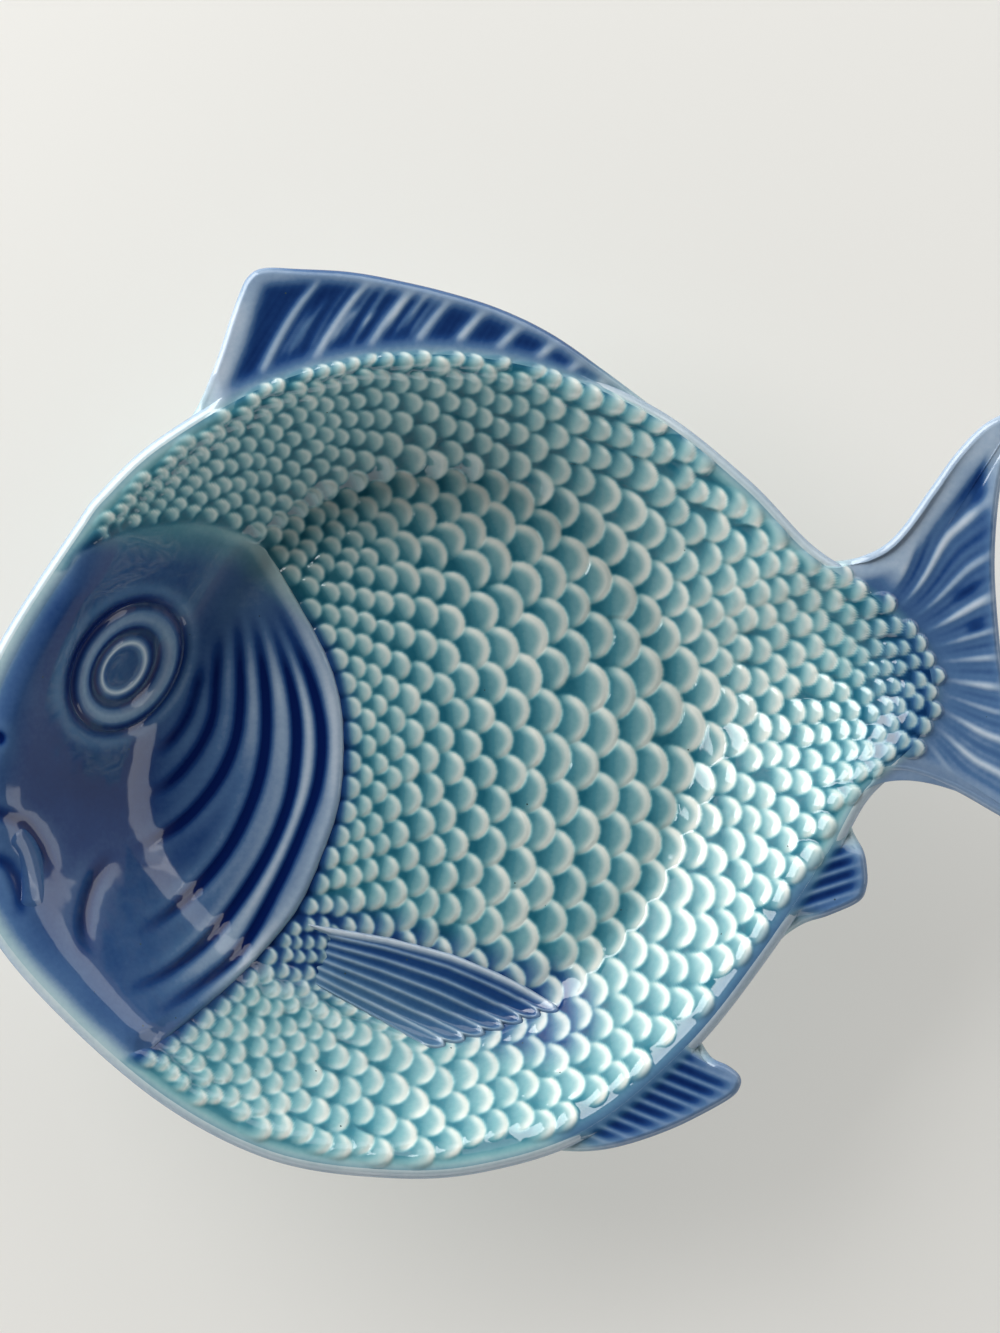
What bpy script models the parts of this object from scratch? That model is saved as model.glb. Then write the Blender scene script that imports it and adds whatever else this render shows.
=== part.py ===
"""Fish-shaped serving bowl in glazed earthenware.

The bowl lies on its foot: +X runs from head to tail, +Y from belly to back, +Z out of
the open side. It is one fired piece with no moving parts, and each clay element that a
potter shapes by itself and joins on before firing is a solid of its own here.
Places on the fish are shares of the body: -0.5 at the snout and the belly, 0.5 at the
tail's root and the back. Angles are in degrees round the middle of the floor, from +X.
"""

import math

import bmesh
import bpy
import numpy as np

MM = 0.001

# Body, over the outside of its rim
BODY_LENGTH = 298 * MM
BODY_WIDTH = 251 * MM
RIM_HEIGHT = 58 * MM
WALL = 6 * MM
FLOOR_LENGTH = 150 * MM
FLOOR_WIDTH = 166 * MM
FLOOR_SHARE = (-0.010, 0.014)
FLOOR_BEND = 0.38
RIM_BEND = 0.25
SEAM = 0.3 * MM
SLIP = 0.6 * MM

# Foot
FOOT_HEIGHT = 6 * MM
FOOT_WIDTH = 9 * MM
FOOT_INSET = 12 * MM
FOOT_ROUND = 1.5 * MM

# Fins: heights are measured from the outside of the rim along the tallest ray
FIN_RISE = 0.1
FIN_EDGE = 4.2 * MM
FIN_CORNER = 4 * MM
RAY_HEIGHT = 1.3 * MM
DORSAL_HEIGHT = 43 * MM
DORSAL_ROOT = (126, 58)
DORSAL_LEAN = (70, 44)
DORSAL_FALL = 1.15
DORSAL_RAYS = 13
ANAL_HEIGHT = 25 * MM
ANAL_ROOT = (-28, -11)
ANAL_LEAN = (22, 28)
ANAL_FALL = 0.8
ANAL_RAYS = 5
PELVIC_HEIGHT = 17 * MM
PELVIC_ROOT = (-49, -73)
PELVIC_LEAN = (-30, -22)
PELVIC_FALL = 0.6
PELVIC_RAYS = 6
FIN_STUB = 1.5 * MM

# Tail
TAIL_ROOT = (24, -3)
TAIL_END = (0.5, 0.087)
TAIL_UPPER = (22 * MM, 84 * MM)
TAIL_LOWER = (38 * MM, -49 * MM)
TAIL_FORK = 12 * MM
TAIL_FORK_POWER = 1.5
TAIL_BOW = 17 * MM
TAIL_PULL = 8 * MM
TAIL_RAYS = 12

# Head: plate over the cheek with gill ridges, eye and lips
CHEEK = (-0.302, 0.005)
HEAD_TOP = (-0.370, 0.262)
HEAD_END = (-0.338, -0.372)
HEAD_RIM_SHARE = 0.88
HEAD_THICKNESS = 1.8 * MM
GILL_RIDGE = 1.6 * MM
GILL_RIDGES = 4
GILL_PITCH = 0.145
GILL_ARC = (62, -120)
GILL_FADE = 25
EYE = (-0.345, 0.122)
EYE_DIAMETER = 37 * MM
EYE_HEIGHT = 2.6 * MM
LIP_WIDTH = 6 * MM
LIP_HEIGHT = 2.6 * MM
LIP_END = 0.5
LIP_TAPER = 6

# Pectoral fin, laid on the basin behind the gill cover
PECTORAL_ROOT = ((-0.148, -0.207), (-0.160, -0.274))
PECTORAL_TIPS = ((0.128, -0.318), (0.102, -0.345), (0.030, -0.366), (-0.012, -0.378))
PECTORAL_HEIGHT = 2.6 * MM
PECTORAL_BOW = 0.06
PECTORAL_RAYS = 8
PECTORAL_GROOVE = 0.4
PECTORAL_LOBE = 0.03

# Outlines as shares of the body
RIM_SHAPE = [
    (-0.500, -0.081), (-0.488, 0.021), (-0.455, 0.135), (-0.376, 0.283), (-0.348, 0.327),
    (-0.290, 0.390), (-0.177, 0.466), (-0.046, 0.500), (0.085, 0.486), (0.208, 0.428),
    (0.304, 0.340), (0.372, 0.257), (0.438, 0.205), (0.484, 0.150), (0.500, 0.087),
    (0.484, 0.027), (0.440, -0.035), (0.392, -0.111), (0.322, -0.237), (0.246, -0.350),
    (0.145, -0.450), (0.034, -0.494), (-0.067, -0.500), (-0.180, -0.478), (-0.292, -0.408),
    (-0.403, -0.291), (-0.470, -0.189),
]
GILL_EDGE = [
    (-0.318, 0.290), (-0.266, 0.294), (-0.194, 0.266), (-0.152, 0.196), (-0.124, 0.130),
    (-0.110, 0.076), (-0.106, 0.018), (-0.112, -0.050), (-0.130, -0.116), (-0.158, -0.184),
    (-0.204, -0.250), (-0.252, -0.304),
]
LIP_PATH = [
    (-0.468, -0.078), (-0.446, -0.088), (-0.428, -0.112), (-0.420, -0.150), (-0.427, -0.186),
    (-0.447, -0.206),
]

# Sections: shares of the eye's radius and height, and of the lip's half width and height
EYE_PROFILE = [
    (0.15, 0), (0.4, 0), (0.7, 0), (1, 0), (1, 0.25), (0.9, 0.75), (0.78, 0.9),
    (0.66, 0.75), (0.58, 0.35), (0.48, 0.35), (0.41, 0.8), (0.36, 1), (0.3, 0.75), (0.15, 0.85),
]
LIP_SECTION = [(-1, 0), (0, 0), (1, 0), (0.9, 0.5), (0.5, 0.9), (0, 1), (-0.5, 0.9), (-0.9, 0.5)]

# Where facets fall: shares of the way up the wall and out along a ray, and turns round the rim
WALL_INSIDE = (0, 0.1, 0.19, 0.28, 0.38, 0.5, 0.63, 0.75, 0.82, 0.88, 0.94, 1)
WALL_OUTSIDE = (0.97, 0.88, 0.75, 0.55, 0.38, 0.22, 0)
RIM_TURNS = np.radians([50, 15, -15, -50])
ROOT_TURNS = np.radians([60, 30, 0, -30, -60])
RAY_REACH = (0.12, 0.2, 0.5, 0.78, 0.88)
RAY_GROOVE = (0.34, 0.66)
EDGE_LEVELS = (0.25, 0.75)
DISC_SHARE = 0.5
PLATE_UNDER = (0.15, 0.5, 0.7, 0.8, 0.86, 0.91, 0.96, 1)
PLATE_MIDDLE = (0.36, 0.27, 0.18, 0.09)
FINGER_UNDER = (0, 0.25, 0.5, 0.75, 0.9, 1)
FINGER_OVER = ((1, 0.5), (0.95, 0.8), (0.75, 1), (0.4, 1), (0, 0.7))
RIDGE_STEPS = 4
RIM_STEPS = 96
SPLINE_STEPS = 24
HEAD_STEPS = 72
FRONT_POINTS = 9
EYE_STEPS = 28
LIP_STEPS = 17
FOOT_STEPS = 48
SLOPE_STEP = 0.5 * MM
TURN_STEP = math.radians(1.5)
SHARP = math.radians(35)

# Finishes: linear colour and roughness
TEAL_GLAZE = ((0.16, 0.38, 0.42), 0.12)
COBALT_GLAZE = ((0.02, 0.06, 0.22), 0.1)
BARE_CLAY = ((0.62, 0.55, 0.46), 0.85)

RIM_RADIUS = WALL / 2
FLOOR_TOP = FOOT_HEIGHT + WALL
DEPTH = RIM_HEIGHT - FLOOR_TOP
CREST = np.array([BODY_LENGTH - WALL, BODY_WIDTH - WALL])
FLOOR_MIDDLE = np.array(FLOOR_SHARE) * CREST
FACE_SEAT = SLIP + HEAD_THICKNESS + SLIP


def place(shares):
    """Points on the fish, in metres, from shares of the body."""
    return np.asarray(shares, float) * CREST


def spline(points, closed):
    """Smooth curve through the points (Catmull-Rom), with SPLINE_STEPS steps a span."""
    points = np.asarray(points, float)
    if closed:
        line = np.vstack([points[-1:], points, points[:2]])
    else:
        line = np.vstack([2 * points[:1] - points[1:2], points, 2 * points[-1:] - points[-2:-1]])
    before, start, end, after = line[:-3], line[1:-2], line[2:-1], line[3:]
    t = np.linspace(0, 1, SPLINE_STEPS, endpoint=False)[:, None, None]
    curve = 0.5 * (
        2 * start
        + (end - before) * t
        + (2 * before - 5 * start + 4 * end - after) * t**2
        + (3 * start - before - 3 * end + after) * t**3
    )
    curve = curve.transpose(1, 0, 2).reshape(-1, 2)
    return curve if closed else np.vstack([curve, points[-1:]])


def even_steps(line, steps, closed):
    """The line again as points at even distances along it."""
    if closed:
        line = np.vstack([line, line[:1]])
    run = np.concatenate([[0], np.cumsum(np.linalg.norm(np.diff(line, axis=0), axis=1))])
    at = np.linspace(0, run[-1], steps, endpoint=not closed)
    return np.column_stack([np.interp(at, run, line[:, k]) for k in range(2)])


def cross(a, b):
    """Third component of the cross product of plane vectors."""
    return a[..., 0] * b[..., 1] - a[..., 1] * b[..., 0]


def unit(vectors):
    """The vectors at length 1."""
    return vectors / np.linalg.norm(vectors, axis=-1, keepdims=True)


def direction(angle):
    """Unit vectors in the plane at angles in radians."""
    return np.stack([np.cos(angle), np.sin(angle)], axis=-1)


def rim_crest():
    """The crest of the rim as plan vectors from the floor's middle, by rising angle."""
    shape = even_steps(spline(RIM_SHAPE, True), RIM_STEPS, True)
    shape = (shape - (shape.max(0) + shape.min(0)) / 2) / (shape.max(0) - shape.min(0))
    spokes = place(shape) - FLOOR_MIDDLE
    return spokes[np.argsort(np.arctan2(spokes[:, 1], spokes[:, 0]))]


SPOKES = rim_crest()
SPOKE_ANGLES = np.arctan2(SPOKES[:, 1], SPOKES[:, 0])


def rim_reach(angle):
    """Distance from the floor's middle to the rim's crest at an angle in radians."""
    angle = np.arctan2(np.sin(angle), np.cos(angle))
    first = (np.searchsorted(SPOKE_ANGLES, angle) - 1) % RIM_STEPS
    a, b = SPOKES[first], SPOKES[(first + 1) % RIM_STEPS]
    return cross(a, b) / cross(direction(angle), b - a)


def rim_outward(angle):
    """Plan vectors square to the rim's crest, pointing out of the bowl."""
    before, after = angle - TURN_STEP, angle + TURN_STEP
    along = direction(after) * rim_reach(after)[:, None] - direction(before) * rim_reach(before)[:, None]
    return unit(np.column_stack([along[:, 1], -along[:, 0]]))


def floor_reach(angle):
    """Distance from the floor's middle to the oval where the wall starts to rise."""
    return 1 / np.hypot(np.cos(angle) / (FLOOR_LENGTH / 2), np.sin(angle) / (FLOOR_WIDTH / 2))


def climb(share):
    """Height of the wall, 0 to 1, and its slope, at a share of the way to the rim.

    The slope grows over FLOOR_BEND, holds, and dies away over RIM_BEND.
    """
    share = np.clip(share, 0, 1)
    whole = 1 - (FLOOR_BEND + RIM_BEND) / 2
    lower = share**2 / (2 * FLOOR_BEND)
    straight = share - FLOOR_BEND / 2
    upper = whole - (1 - share) ** 2 / (2 * RIM_BEND)
    height = np.where(share < FLOOR_BEND, lower, np.where(share < 1 - RIM_BEND, straight, upper))
    slope = np.minimum(1, np.minimum(share / FLOOR_BEND, (1 - share) / RIM_BEND))
    return height / whole, slope / whole


def inner_height(xy):
    """Height of the bowl's inner face above the table at plan points."""
    spoke = xy - FLOOR_MIDDLE
    angle = np.arctan2(spoke[..., 1], spoke[..., 0])
    floor, rim = floor_reach(angle), rim_reach(angle)
    share = (np.hypot(spoke[..., 0], spoke[..., 1]) - floor) / (rim - floor)
    return FLOOR_TOP + DEPTH * climb(share)[0]


def inner_slope(xy):
    """Slope of the inner face along X and Y at plan points."""
    east, north = np.array([SLOPE_STEP, 0]), np.array([0, SLOPE_STEP])
    slope_x = (inner_height(xy + east) - inner_height(xy - east)) / (2 * SLOPE_STEP)
    slope_y = (inner_height(xy + north) - inner_height(xy - north)) / (2 * SLOPE_STEP)
    return np.stack([slope_x, slope_y], axis=-1)


def lift(xy, height):
    """Points at a height above the inner face, square to it."""
    slope = inner_slope(xy)
    normal = unit(np.concatenate([-slope, np.ones_like(slope[..., :1])], axis=-1))
    foot = np.concatenate([xy, inner_height(xy)[..., None]], axis=-1)
    return foot + normal * np.asarray(height)[..., None]


def round_on_face(middle, radius, steps):
    """Plan points of a circle drawn on the sloping inner face, so an oval from above."""
    slope = inner_slope(middle)
    uphill = unit(slope)
    level = np.array([-uphill[1], uphill[0]])
    turns = direction(np.linspace(0, 2 * math.pi, steps, endpoint=False)) * radius
    return turns[:, :1] * uphill / math.hypot(1, np.linalg.norm(slope)) + turns[:, 1:] * level


def ray_shares(rays):
    """Shares across a fin, three to a ray, and the ribbing there: 1 on a ray, 0 in a groove."""
    places = [k + part for k in range(rays) for part in (0, *RAY_GROOVE)] + [rays]
    ribs = [1, 0, 0] * rays + [1]
    return np.array(places) / rays, np.array(ribs, float)


def corner_cut(t, rays):
    """Length taken off a fin's corner at the start of its root, fading over the first ray."""
    return FIN_CORNER * np.clip(1 - t * rays, 0, 1) ** 2


def glaze(name, finish):
    """Material of one finish."""
    color, roughness = finish
    material = bpy.data.materials.new(name)
    material.use_nodes = True
    shader = material.node_tree.nodes["Principled BSDF"]
    shader.inputs["Base Color"].default_value = (*color, 1)
    shader.inputs["Roughness"].default_value = roughness
    shader.inputs["Metallic"].default_value = 0
    return material


def loft(name, loops, material, parent, ring=False):
    """Solid skinned over closed loops of points, capped at both ends or closed as a ring."""
    bm = bmesh.new()
    rows = [[bm.verts.new(point) for point in loop] for loop in loops]
    following = rows[1:] + rows[:1] if ring else rows[1:]
    for row, next_row in zip(rows, following):
        for k in range(len(row)):
            after = (k + 1) % len(row)
            bm.faces.new((row[k], next_row[k], next_row[after], row[after]))
    if not ring:
        bm.faces.new(rows[0])
        bm.faces.new(rows[-1])
    bmesh.ops.recalc_face_normals(bm, faces=bm.faces)
    mesh = bpy.data.meshes.new(name)
    bm.to_mesh(mesh)
    bm.free()
    mesh.materials.append(material)
    mesh.shade_smooth()
    mesh.set_sharp_from_angle(angle=SHARP)
    part = bpy.data.objects.new(name, mesh)
    bpy.context.collection.objects.link(part)
    part.parent = parent
    return part


def bowl_body(material, parent):
    """The fish-shaped shell: floor, wall, round rim and underside, of one wall thickness."""
    floor, rim = floor_reach(SPOKE_ANGLES), np.linalg.norm(SPOKES, axis=1)
    spoke_ways, rim_ways = direction(SPOKE_ANGLES), rim_outward(SPOKE_ANGLES)

    def ring(share, out, height):
        reach = floor + (rim - floor) * share
        sideways = unit(spoke_ways + (rim_ways - spoke_ways) * share)
        offset = np.broadcast_to(out, rim.shape)
        plan = FLOOR_MIDDLE + spoke_ways * reach[:, None] + sideways * offset[:, None]
        return np.column_stack([plan, np.broadcast_to(height, rim.shape)])

    def floor_disc(height):
        plan = FLOOR_MIDDLE + spoke_ways * floor[:, None] * DISC_SHARE
        return np.column_stack([plan, np.full(RIM_STEPS, height)])

    loops = [floor_disc(FLOOR_TOP)]
    loops += [ring(share, 0, FLOOR_TOP + DEPTH * climb(share)[0]) for share in WALL_INSIDE]
    for turn in RIM_TURNS:
        height = RIM_HEIGHT - RIM_RADIUS + RIM_RADIUS * math.sin(turn)
        loops.append(ring(1, RIM_RADIUS * math.cos(turn), height))
    for share in WALL_OUTSIDE:
        height, slope = climb(share)
        tilt = np.arctan(DEPTH * slope / (rim - floor))
        loops.append(ring(share, WALL * np.sin(tilt), FLOOR_TOP + DEPTH * height - WALL * np.cos(tilt)))
    loops.append(floor_disc(FOOT_HEIGHT))
    return loft("bowl_body", loops, material, parent)


def foot_ring(material, parent):
    """Oval ring under the floor, a little narrower where it meets the table."""
    turns = direction(np.linspace(0, 2 * math.pi, FOOT_STEPS, endpoint=False))
    half = np.array([FLOOR_LENGTH / 2 - FOOT_INSET, FLOOR_WIDTH / 2 - FOOT_INSET])
    outward = unit(turns * half[::-1])
    top, side = FOOT_WIDTH / 2, FOOT_WIDTH / 2 - FOOT_ROUND / 2
    section = [
        (-top, FOOT_HEIGHT - SEAM), (top, FOOT_HEIGHT - SEAM), (side, FOOT_ROUND),
        (side - FOOT_ROUND, 0), (FOOT_ROUND - side, 0), (-side, FOOT_ROUND),
    ]
    loops = []
    for out, up in section:
        plan = FLOOR_MIDDLE + turns * half + outward * out
        loops.append(np.column_stack([plan, np.full(FOOT_STEPS, up)]))
    return loft("foot_ring", loops, material, parent, ring=True)


def rayed_fin(name, root, rays, tips, bends, material, parent):
    """Fin on the outside of the rim, ribbed by rays that run from its root to its edge.

    tips and bends give, for shares along the root, where each ray ends and how far its
    middle bows from the straight line. The root hugs the round rim at a seam's distance.
    """
    t, ribs = ray_shares(rays)
    angle = np.radians(root[0] + (root[1] - root[0]) * t)
    crest = FLOOR_MIDDLE + direction(angle) * rim_reach(angle)[:, None]
    outward = rim_outward(angle)
    hug = RIM_RADIUS + SEAM
    base = crest + outward * hug
    tip = tips(t, base)
    middle = (base + tip) / 2 + bends(t)
    length = np.linalg.norm(tip - base, axis=1)
    rim_middle = RIM_HEIGHT - RIM_RADIUS
    top = rim_middle + hug * math.sin(ROOT_TURNS[0])
    root_thickness = 2 * hug * math.sin(ROOT_TURNS[0])

    def hugging(turn):
        plan = crest + outward * hug * math.cos(turn)
        return np.column_stack([plan, np.full(len(t), rim_middle + hug * math.sin(turn))])

    def point(q, level, grooved):
        plan = (1 - q) ** 2 * base + 2 * q * (1 - q) * middle + q**2 * tip
        groove = RAY_HEIGHT * (1 - ribs) * grooved
        thickness = root_thickness + (FIN_EDGE - root_thickness) * q - groove
        surface = top + FIN_RISE * length * q - groove
        return np.column_stack([plan, surface - thickness * (1 - level)])

    section = [hugging(turn) for turn in ROOT_TURNS]
    section += [point(q, 0, 0) for q in RAY_REACH]
    section += [point(1, level, 0) for level in EDGE_LEVELS]
    section.append(point((1 + RAY_REACH[-1]) / 2, 1, 0))
    section += [point(q, 1, q > RAY_REACH[0]) for q in reversed(RAY_REACH)]
    return loft(name, np.stack(section, axis=1), material, parent)


def straight_fin(name, root, rays, height, lean, fall, material, parent):
    """Rayed fin whose straight rays shorten from the tall end of its root to the other."""

    def tips(t, base):
        way = direction(np.radians(lean[0] + (lean[1] - lean[0]) * t))
        length = FIN_STUB + (height - FIN_STUB) * (1 - t) ** fall - corner_cut(t, rays)
        return base + way * length[:, None]

    return rayed_fin(name, root, rays, tips, lambda t: 0, material, parent)


def tail_fin(material, parent):
    """Forked tail: two lobes spread from the end of the body, with rays that fan out."""
    end = place(TAIL_END)
    upper, lower = end + TAIL_UPPER, end + TAIL_LOWER
    across = unit(lower - upper)
    inward = np.array([across[1], -across[0]])

    def tips(t, base):
        fork = TAIL_FORK * np.sin(math.pi * t) ** TAIL_FORK_POWER
        edge = upper + (lower - upper) * t[:, None] + inward * fork[:, None]
        cut = corner_cut(t, TAIL_RAYS) + corner_cut(1 - t, TAIL_RAYS)
        return edge + unit(base - edge) * cut[:, None]

    def bends(t):
        spread = (1 - 2 * t)[:, None]
        return across * TAIL_BOW * spread + inward * TAIL_PULL * spread**2

    return rayed_fin("tail_fin", TAIL_ROOT, TAIL_RAYS, tips, bends, material, parent)


def head_outline():
    """Plan outline of the head plate: the gill cover's edge, then along inside the rim."""
    ends = np.array([place(HEAD_END), place(HEAD_TOP)]) - FLOOR_MIDDLE
    low, high = np.arctan2(ends[:, 1], ends[:, 0])
    angles = np.linspace(low, high - 2 * math.pi, FRONT_POINTS)
    floor, rim = floor_reach(angles), rim_reach(angles)
    reach = floor + (rim - floor) * HEAD_RIM_SHARE
    front = FLOOR_MIDDLE + direction(angles) * reach[:, None]
    return even_steps(spline(np.vstack([place(GILL_EDGE), front]), True), HEAD_STEPS, True)


def head_plate(material, parent):
    """Smooth plate over the cheek, with gill ridges that repeat its rear edge inwards."""
    cheek = place(CHEEK)
    edge = head_outline() - cheek
    bearing = np.degrees(np.arctan2(edge[:, 1], edge[:, 0]))
    rear = np.clip((GILL_ARC[0] - bearing) / GILL_FADE, 0, 1)
    rear *= np.clip((bearing - GILL_ARC[1]) / GILL_FADE, 0, 1)

    def ring(share, height):
        return lift(cheek + edge * share, np.broadcast_to(height, HEAD_STEPS))

    under = [ring(share, SLIP) for share in PLATE_UNDER]
    over = [ring(1, SLIP + HEAD_THICKNESS / 2)]
    for step in range(1, RIDGE_STEPS * GILL_RIDGES):
        turns = step / RIDGE_STEPS
        ridge = -math.cos(2 * math.pi * turns) / 2
        over.append(ring(1 - GILL_PITCH * turns, SLIP + HEAD_THICKNESS + GILL_RIDGE * ridge * rear))
    over += [ring(share, SLIP + HEAD_THICKNESS) for share in PLATE_MIDDLE]
    return loft("head_plate", under + over, material, parent)


def eye(material, parent):
    """Round eye on the head plate: a raised outer ring, a groove and a ringed pupil."""
    middle = place(EYE)
    circle = round_on_face(middle, EYE_DIAMETER / 2, EYE_STEPS)
    loops = []
    for share, up in EYE_PROFILE:
        loops.append(lift(middle + circle * share, np.full(EYE_STEPS, FACE_SEAT + EYE_HEIGHT * up)))
    return loft("eye", loops, material, parent)


def lips(material, parent):
    """Rounded welt round the corner of the mouth, on the front of the head plate."""
    line = even_steps(spline(place(LIP_PATH), False), LIP_STEPS, False)
    along = np.gradient(line, axis=0)
    side = unit(np.column_stack([-along[:, 1], along[:, 0]]))
    full = np.maximum(LIP_END, np.sqrt(1 - np.linspace(-1, 1, LIP_STEPS) ** LIP_TAPER))
    points = []
    for out, up in LIP_SECTION:
        plan = line + side * (out * LIP_WIDTH / 2 * full)[:, None]
        points.append(lift(plan, FACE_SEAT + LIP_HEIGHT * up * full))
    return loft("lips", np.stack(points, axis=1), material, parent)


def pectoral_fin(material, parent):
    """Fan of finger-like rays laid on the basin, each ending in its own small lobe."""
    t, ribs = ray_shares(PECTORAL_RAYS)
    first, last = place(PECTORAL_ROOT)
    root = first + (last - first) * t[:, None]
    tips = spline(place(PECTORAL_TIPS), False)
    tip = even_steps(tips, len(t), False)
    lead = tip[0] - root[0]
    bow = PECTORAL_BOW * np.array([-lead[1], lead[0]])

    def row(q, share):
        lobes = PECTORAL_LOBE * (1 - ribs) * (q == 1)
        reach = (q - lobes)[:, None]
        plan = root + (tip - root) * reach + bow * 4 * reach * (1 - reach) * (1 - t[:, None])
        return lift(plan, SLIP + PECTORAL_HEIGHT * (PECTORAL_GROOVE + (1 - PECTORAL_GROOVE) * ribs) * share)

    under = [row(q, 0) for q in FINGER_UNDER]
    over = [row(q, share) for q, share in FINGER_OVER]
    return loft("pectoral_fin", np.stack(under + over, axis=1), material, parent)


def settle(parent):
    """Move the whole bowl so that its box stands centred on the origin."""
    bpy.context.view_layer.update()
    corners = np.array([part.matrix_world @ v.co for part in parent.children for v in part.data.vertices])
    middle = (corners.min(0) + corners.max(0)) / 2
    parent.location = (-middle[0], -middle[1], -corners[:, 2].min())
    bpy.context.view_layer.update()


def main():
    for item in list(bpy.data.objects):
        bpy.data.objects.remove(item, do_unlink=True)
    fish = bpy.data.objects.new("fish_bowl", None)
    bpy.context.collection.objects.link(fish)
    teal = glaze("teal_glaze", TEAL_GLAZE)
    cobalt = glaze("cobalt_glaze", COBALT_GLAZE)
    clay = glaze("bare_clay", BARE_CLAY)
    bowl_body(teal, fish)
    foot_ring(clay, fish)
    straight_fin(
        "dorsal_fin", DORSAL_ROOT, DORSAL_RAYS, DORSAL_HEIGHT, DORSAL_LEAN, DORSAL_FALL, cobalt, fish
    )
    straight_fin("anal_fin", ANAL_ROOT, ANAL_RAYS, ANAL_HEIGHT, ANAL_LEAN, ANAL_FALL, cobalt, fish)
    straight_fin(
        "pelvic_fin", PELVIC_ROOT, PELVIC_RAYS, PELVIC_HEIGHT, PELVIC_LEAN, PELVIC_FALL, cobalt, fish
    )
    tail_fin(cobalt, fish)
    head_plate(cobalt, fish)
    eye(cobalt, fish)
    lips(cobalt, fish)
    pectoral_fin(cobalt, fish)
    settle(fish)


main()
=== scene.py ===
"""Looks of the fish-shaped serving bowl: carved scales, ridged head, rayed fins and flowing glaze.

Sizes are in millimetres on the fish: +X to the tail, +Y to the back, +Z out of the open side,
with the middle of the body at the origin. What is carved on the face is drawn on boards, arrays
in the photograph's pixels, and every surface reads the boards where the camera sees it.
"""

import math

import bpy
import numpy as np
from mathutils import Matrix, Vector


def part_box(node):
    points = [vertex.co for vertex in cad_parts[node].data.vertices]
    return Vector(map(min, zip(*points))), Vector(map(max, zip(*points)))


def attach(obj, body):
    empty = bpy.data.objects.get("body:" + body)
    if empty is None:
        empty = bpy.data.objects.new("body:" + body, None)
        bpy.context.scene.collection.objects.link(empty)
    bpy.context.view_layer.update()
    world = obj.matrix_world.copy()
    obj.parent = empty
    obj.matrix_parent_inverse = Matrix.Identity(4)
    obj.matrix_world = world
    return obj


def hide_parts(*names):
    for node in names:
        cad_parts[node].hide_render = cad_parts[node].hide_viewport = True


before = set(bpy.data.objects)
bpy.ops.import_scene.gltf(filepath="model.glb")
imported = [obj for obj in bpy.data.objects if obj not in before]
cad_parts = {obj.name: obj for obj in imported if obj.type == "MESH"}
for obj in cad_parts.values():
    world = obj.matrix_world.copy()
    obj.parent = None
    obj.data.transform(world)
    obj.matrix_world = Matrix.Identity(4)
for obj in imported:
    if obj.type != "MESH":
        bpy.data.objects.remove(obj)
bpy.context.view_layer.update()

MM = 0.001

# The photograph: its size, mm a pixel at the rim, and the pixel of the body's middle
PHOTO_WIDE, PHOTO_TALL = 1000, 1333
PIXEL = 0.30
FISH_PIXEL = (446, 762.5)
# The camera: its rise over the rim and the width of its sensor, in mm
CAMERA_RISE = 950
SENSOR = 36

# Body, as in the solids; the floor's middle is in shares of the crest's length and width
BODY_LOW, BODY_HIGH = (np.array(corner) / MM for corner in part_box("bowl_body"))
SHIFT = np.append((BODY_LOW + BODY_HIGH)[:2] / 2, 0)
RIM_HEIGHT = BODY_HIGH[2]
WALL = 6
RIM_RADIUS = WALL / 2
FOOT_HEIGHT = BODY_LOW[2]
FLOOR_TOP = FOOT_HEIGHT + WALL
DEPTH = RIM_HEIGHT - FLOOR_TOP
FLOOR_HALF = np.array([75, 83])
FLOOR_SHARE = (-0.010, 0.014)
FLOOR_BEND = 0.38
RIM_BEND = 0.25
FOOT_WIDTH = 9
FOOT_INSET = 12
FOOT_ROUND = 1.5
CREST = (BODY_HIGH - BODY_LOW)[:2] - WALL
FLOOR_MIDDLE = np.array(FLOOR_SHARE) * CREST
# Crest of the rim round the fish, in shares of its length and width
RIM_SHAPE = [
    (-0.500, -0.081), (-0.488, 0.021), (-0.455, 0.135), (-0.376, 0.283), (-0.348, 0.327),
    (-0.290, 0.390), (-0.177, 0.466), (-0.046, 0.500), (0.085, 0.486), (0.208, 0.428),
    (0.304, 0.340), (0.372, 0.257), (0.438, 0.205), (0.484, 0.150), (0.500, 0.087),
    (0.484, 0.027), (0.429, -0.036), (0.392, -0.111), (0.322, -0.237), (0.246, -0.350),
    (0.145, -0.450), (0.034, -0.494), (-0.067, -0.500), (-0.180, -0.478), (-0.292, -0.408),
    (-0.403, -0.291), (-0.470, -0.189),
]

# Skin that each piece of the shell is closed with behind its face
SKIN = 2.4

# Meshes: squares across the floor, and rows up the wall, behind it, over the rim and down the outside
FLOOR_SQUARES = 300
WALL_ROWS = 56
BACK_ROWS = 8
RIM_ROWS = 14
OUTSIDE_ROWS = 30
# Columns round the foot, the head and the eye and round the section of the mouth's welt, and their rows
FOOT_COLUMNS = 240
HEAD_COLUMNS, HEAD_ROWS = 640, 112
EYE_COLUMNS, EYE_ROWS = 200, 90
WELT_COLUMNS, WELT_ROWS = 40, 120

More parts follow.
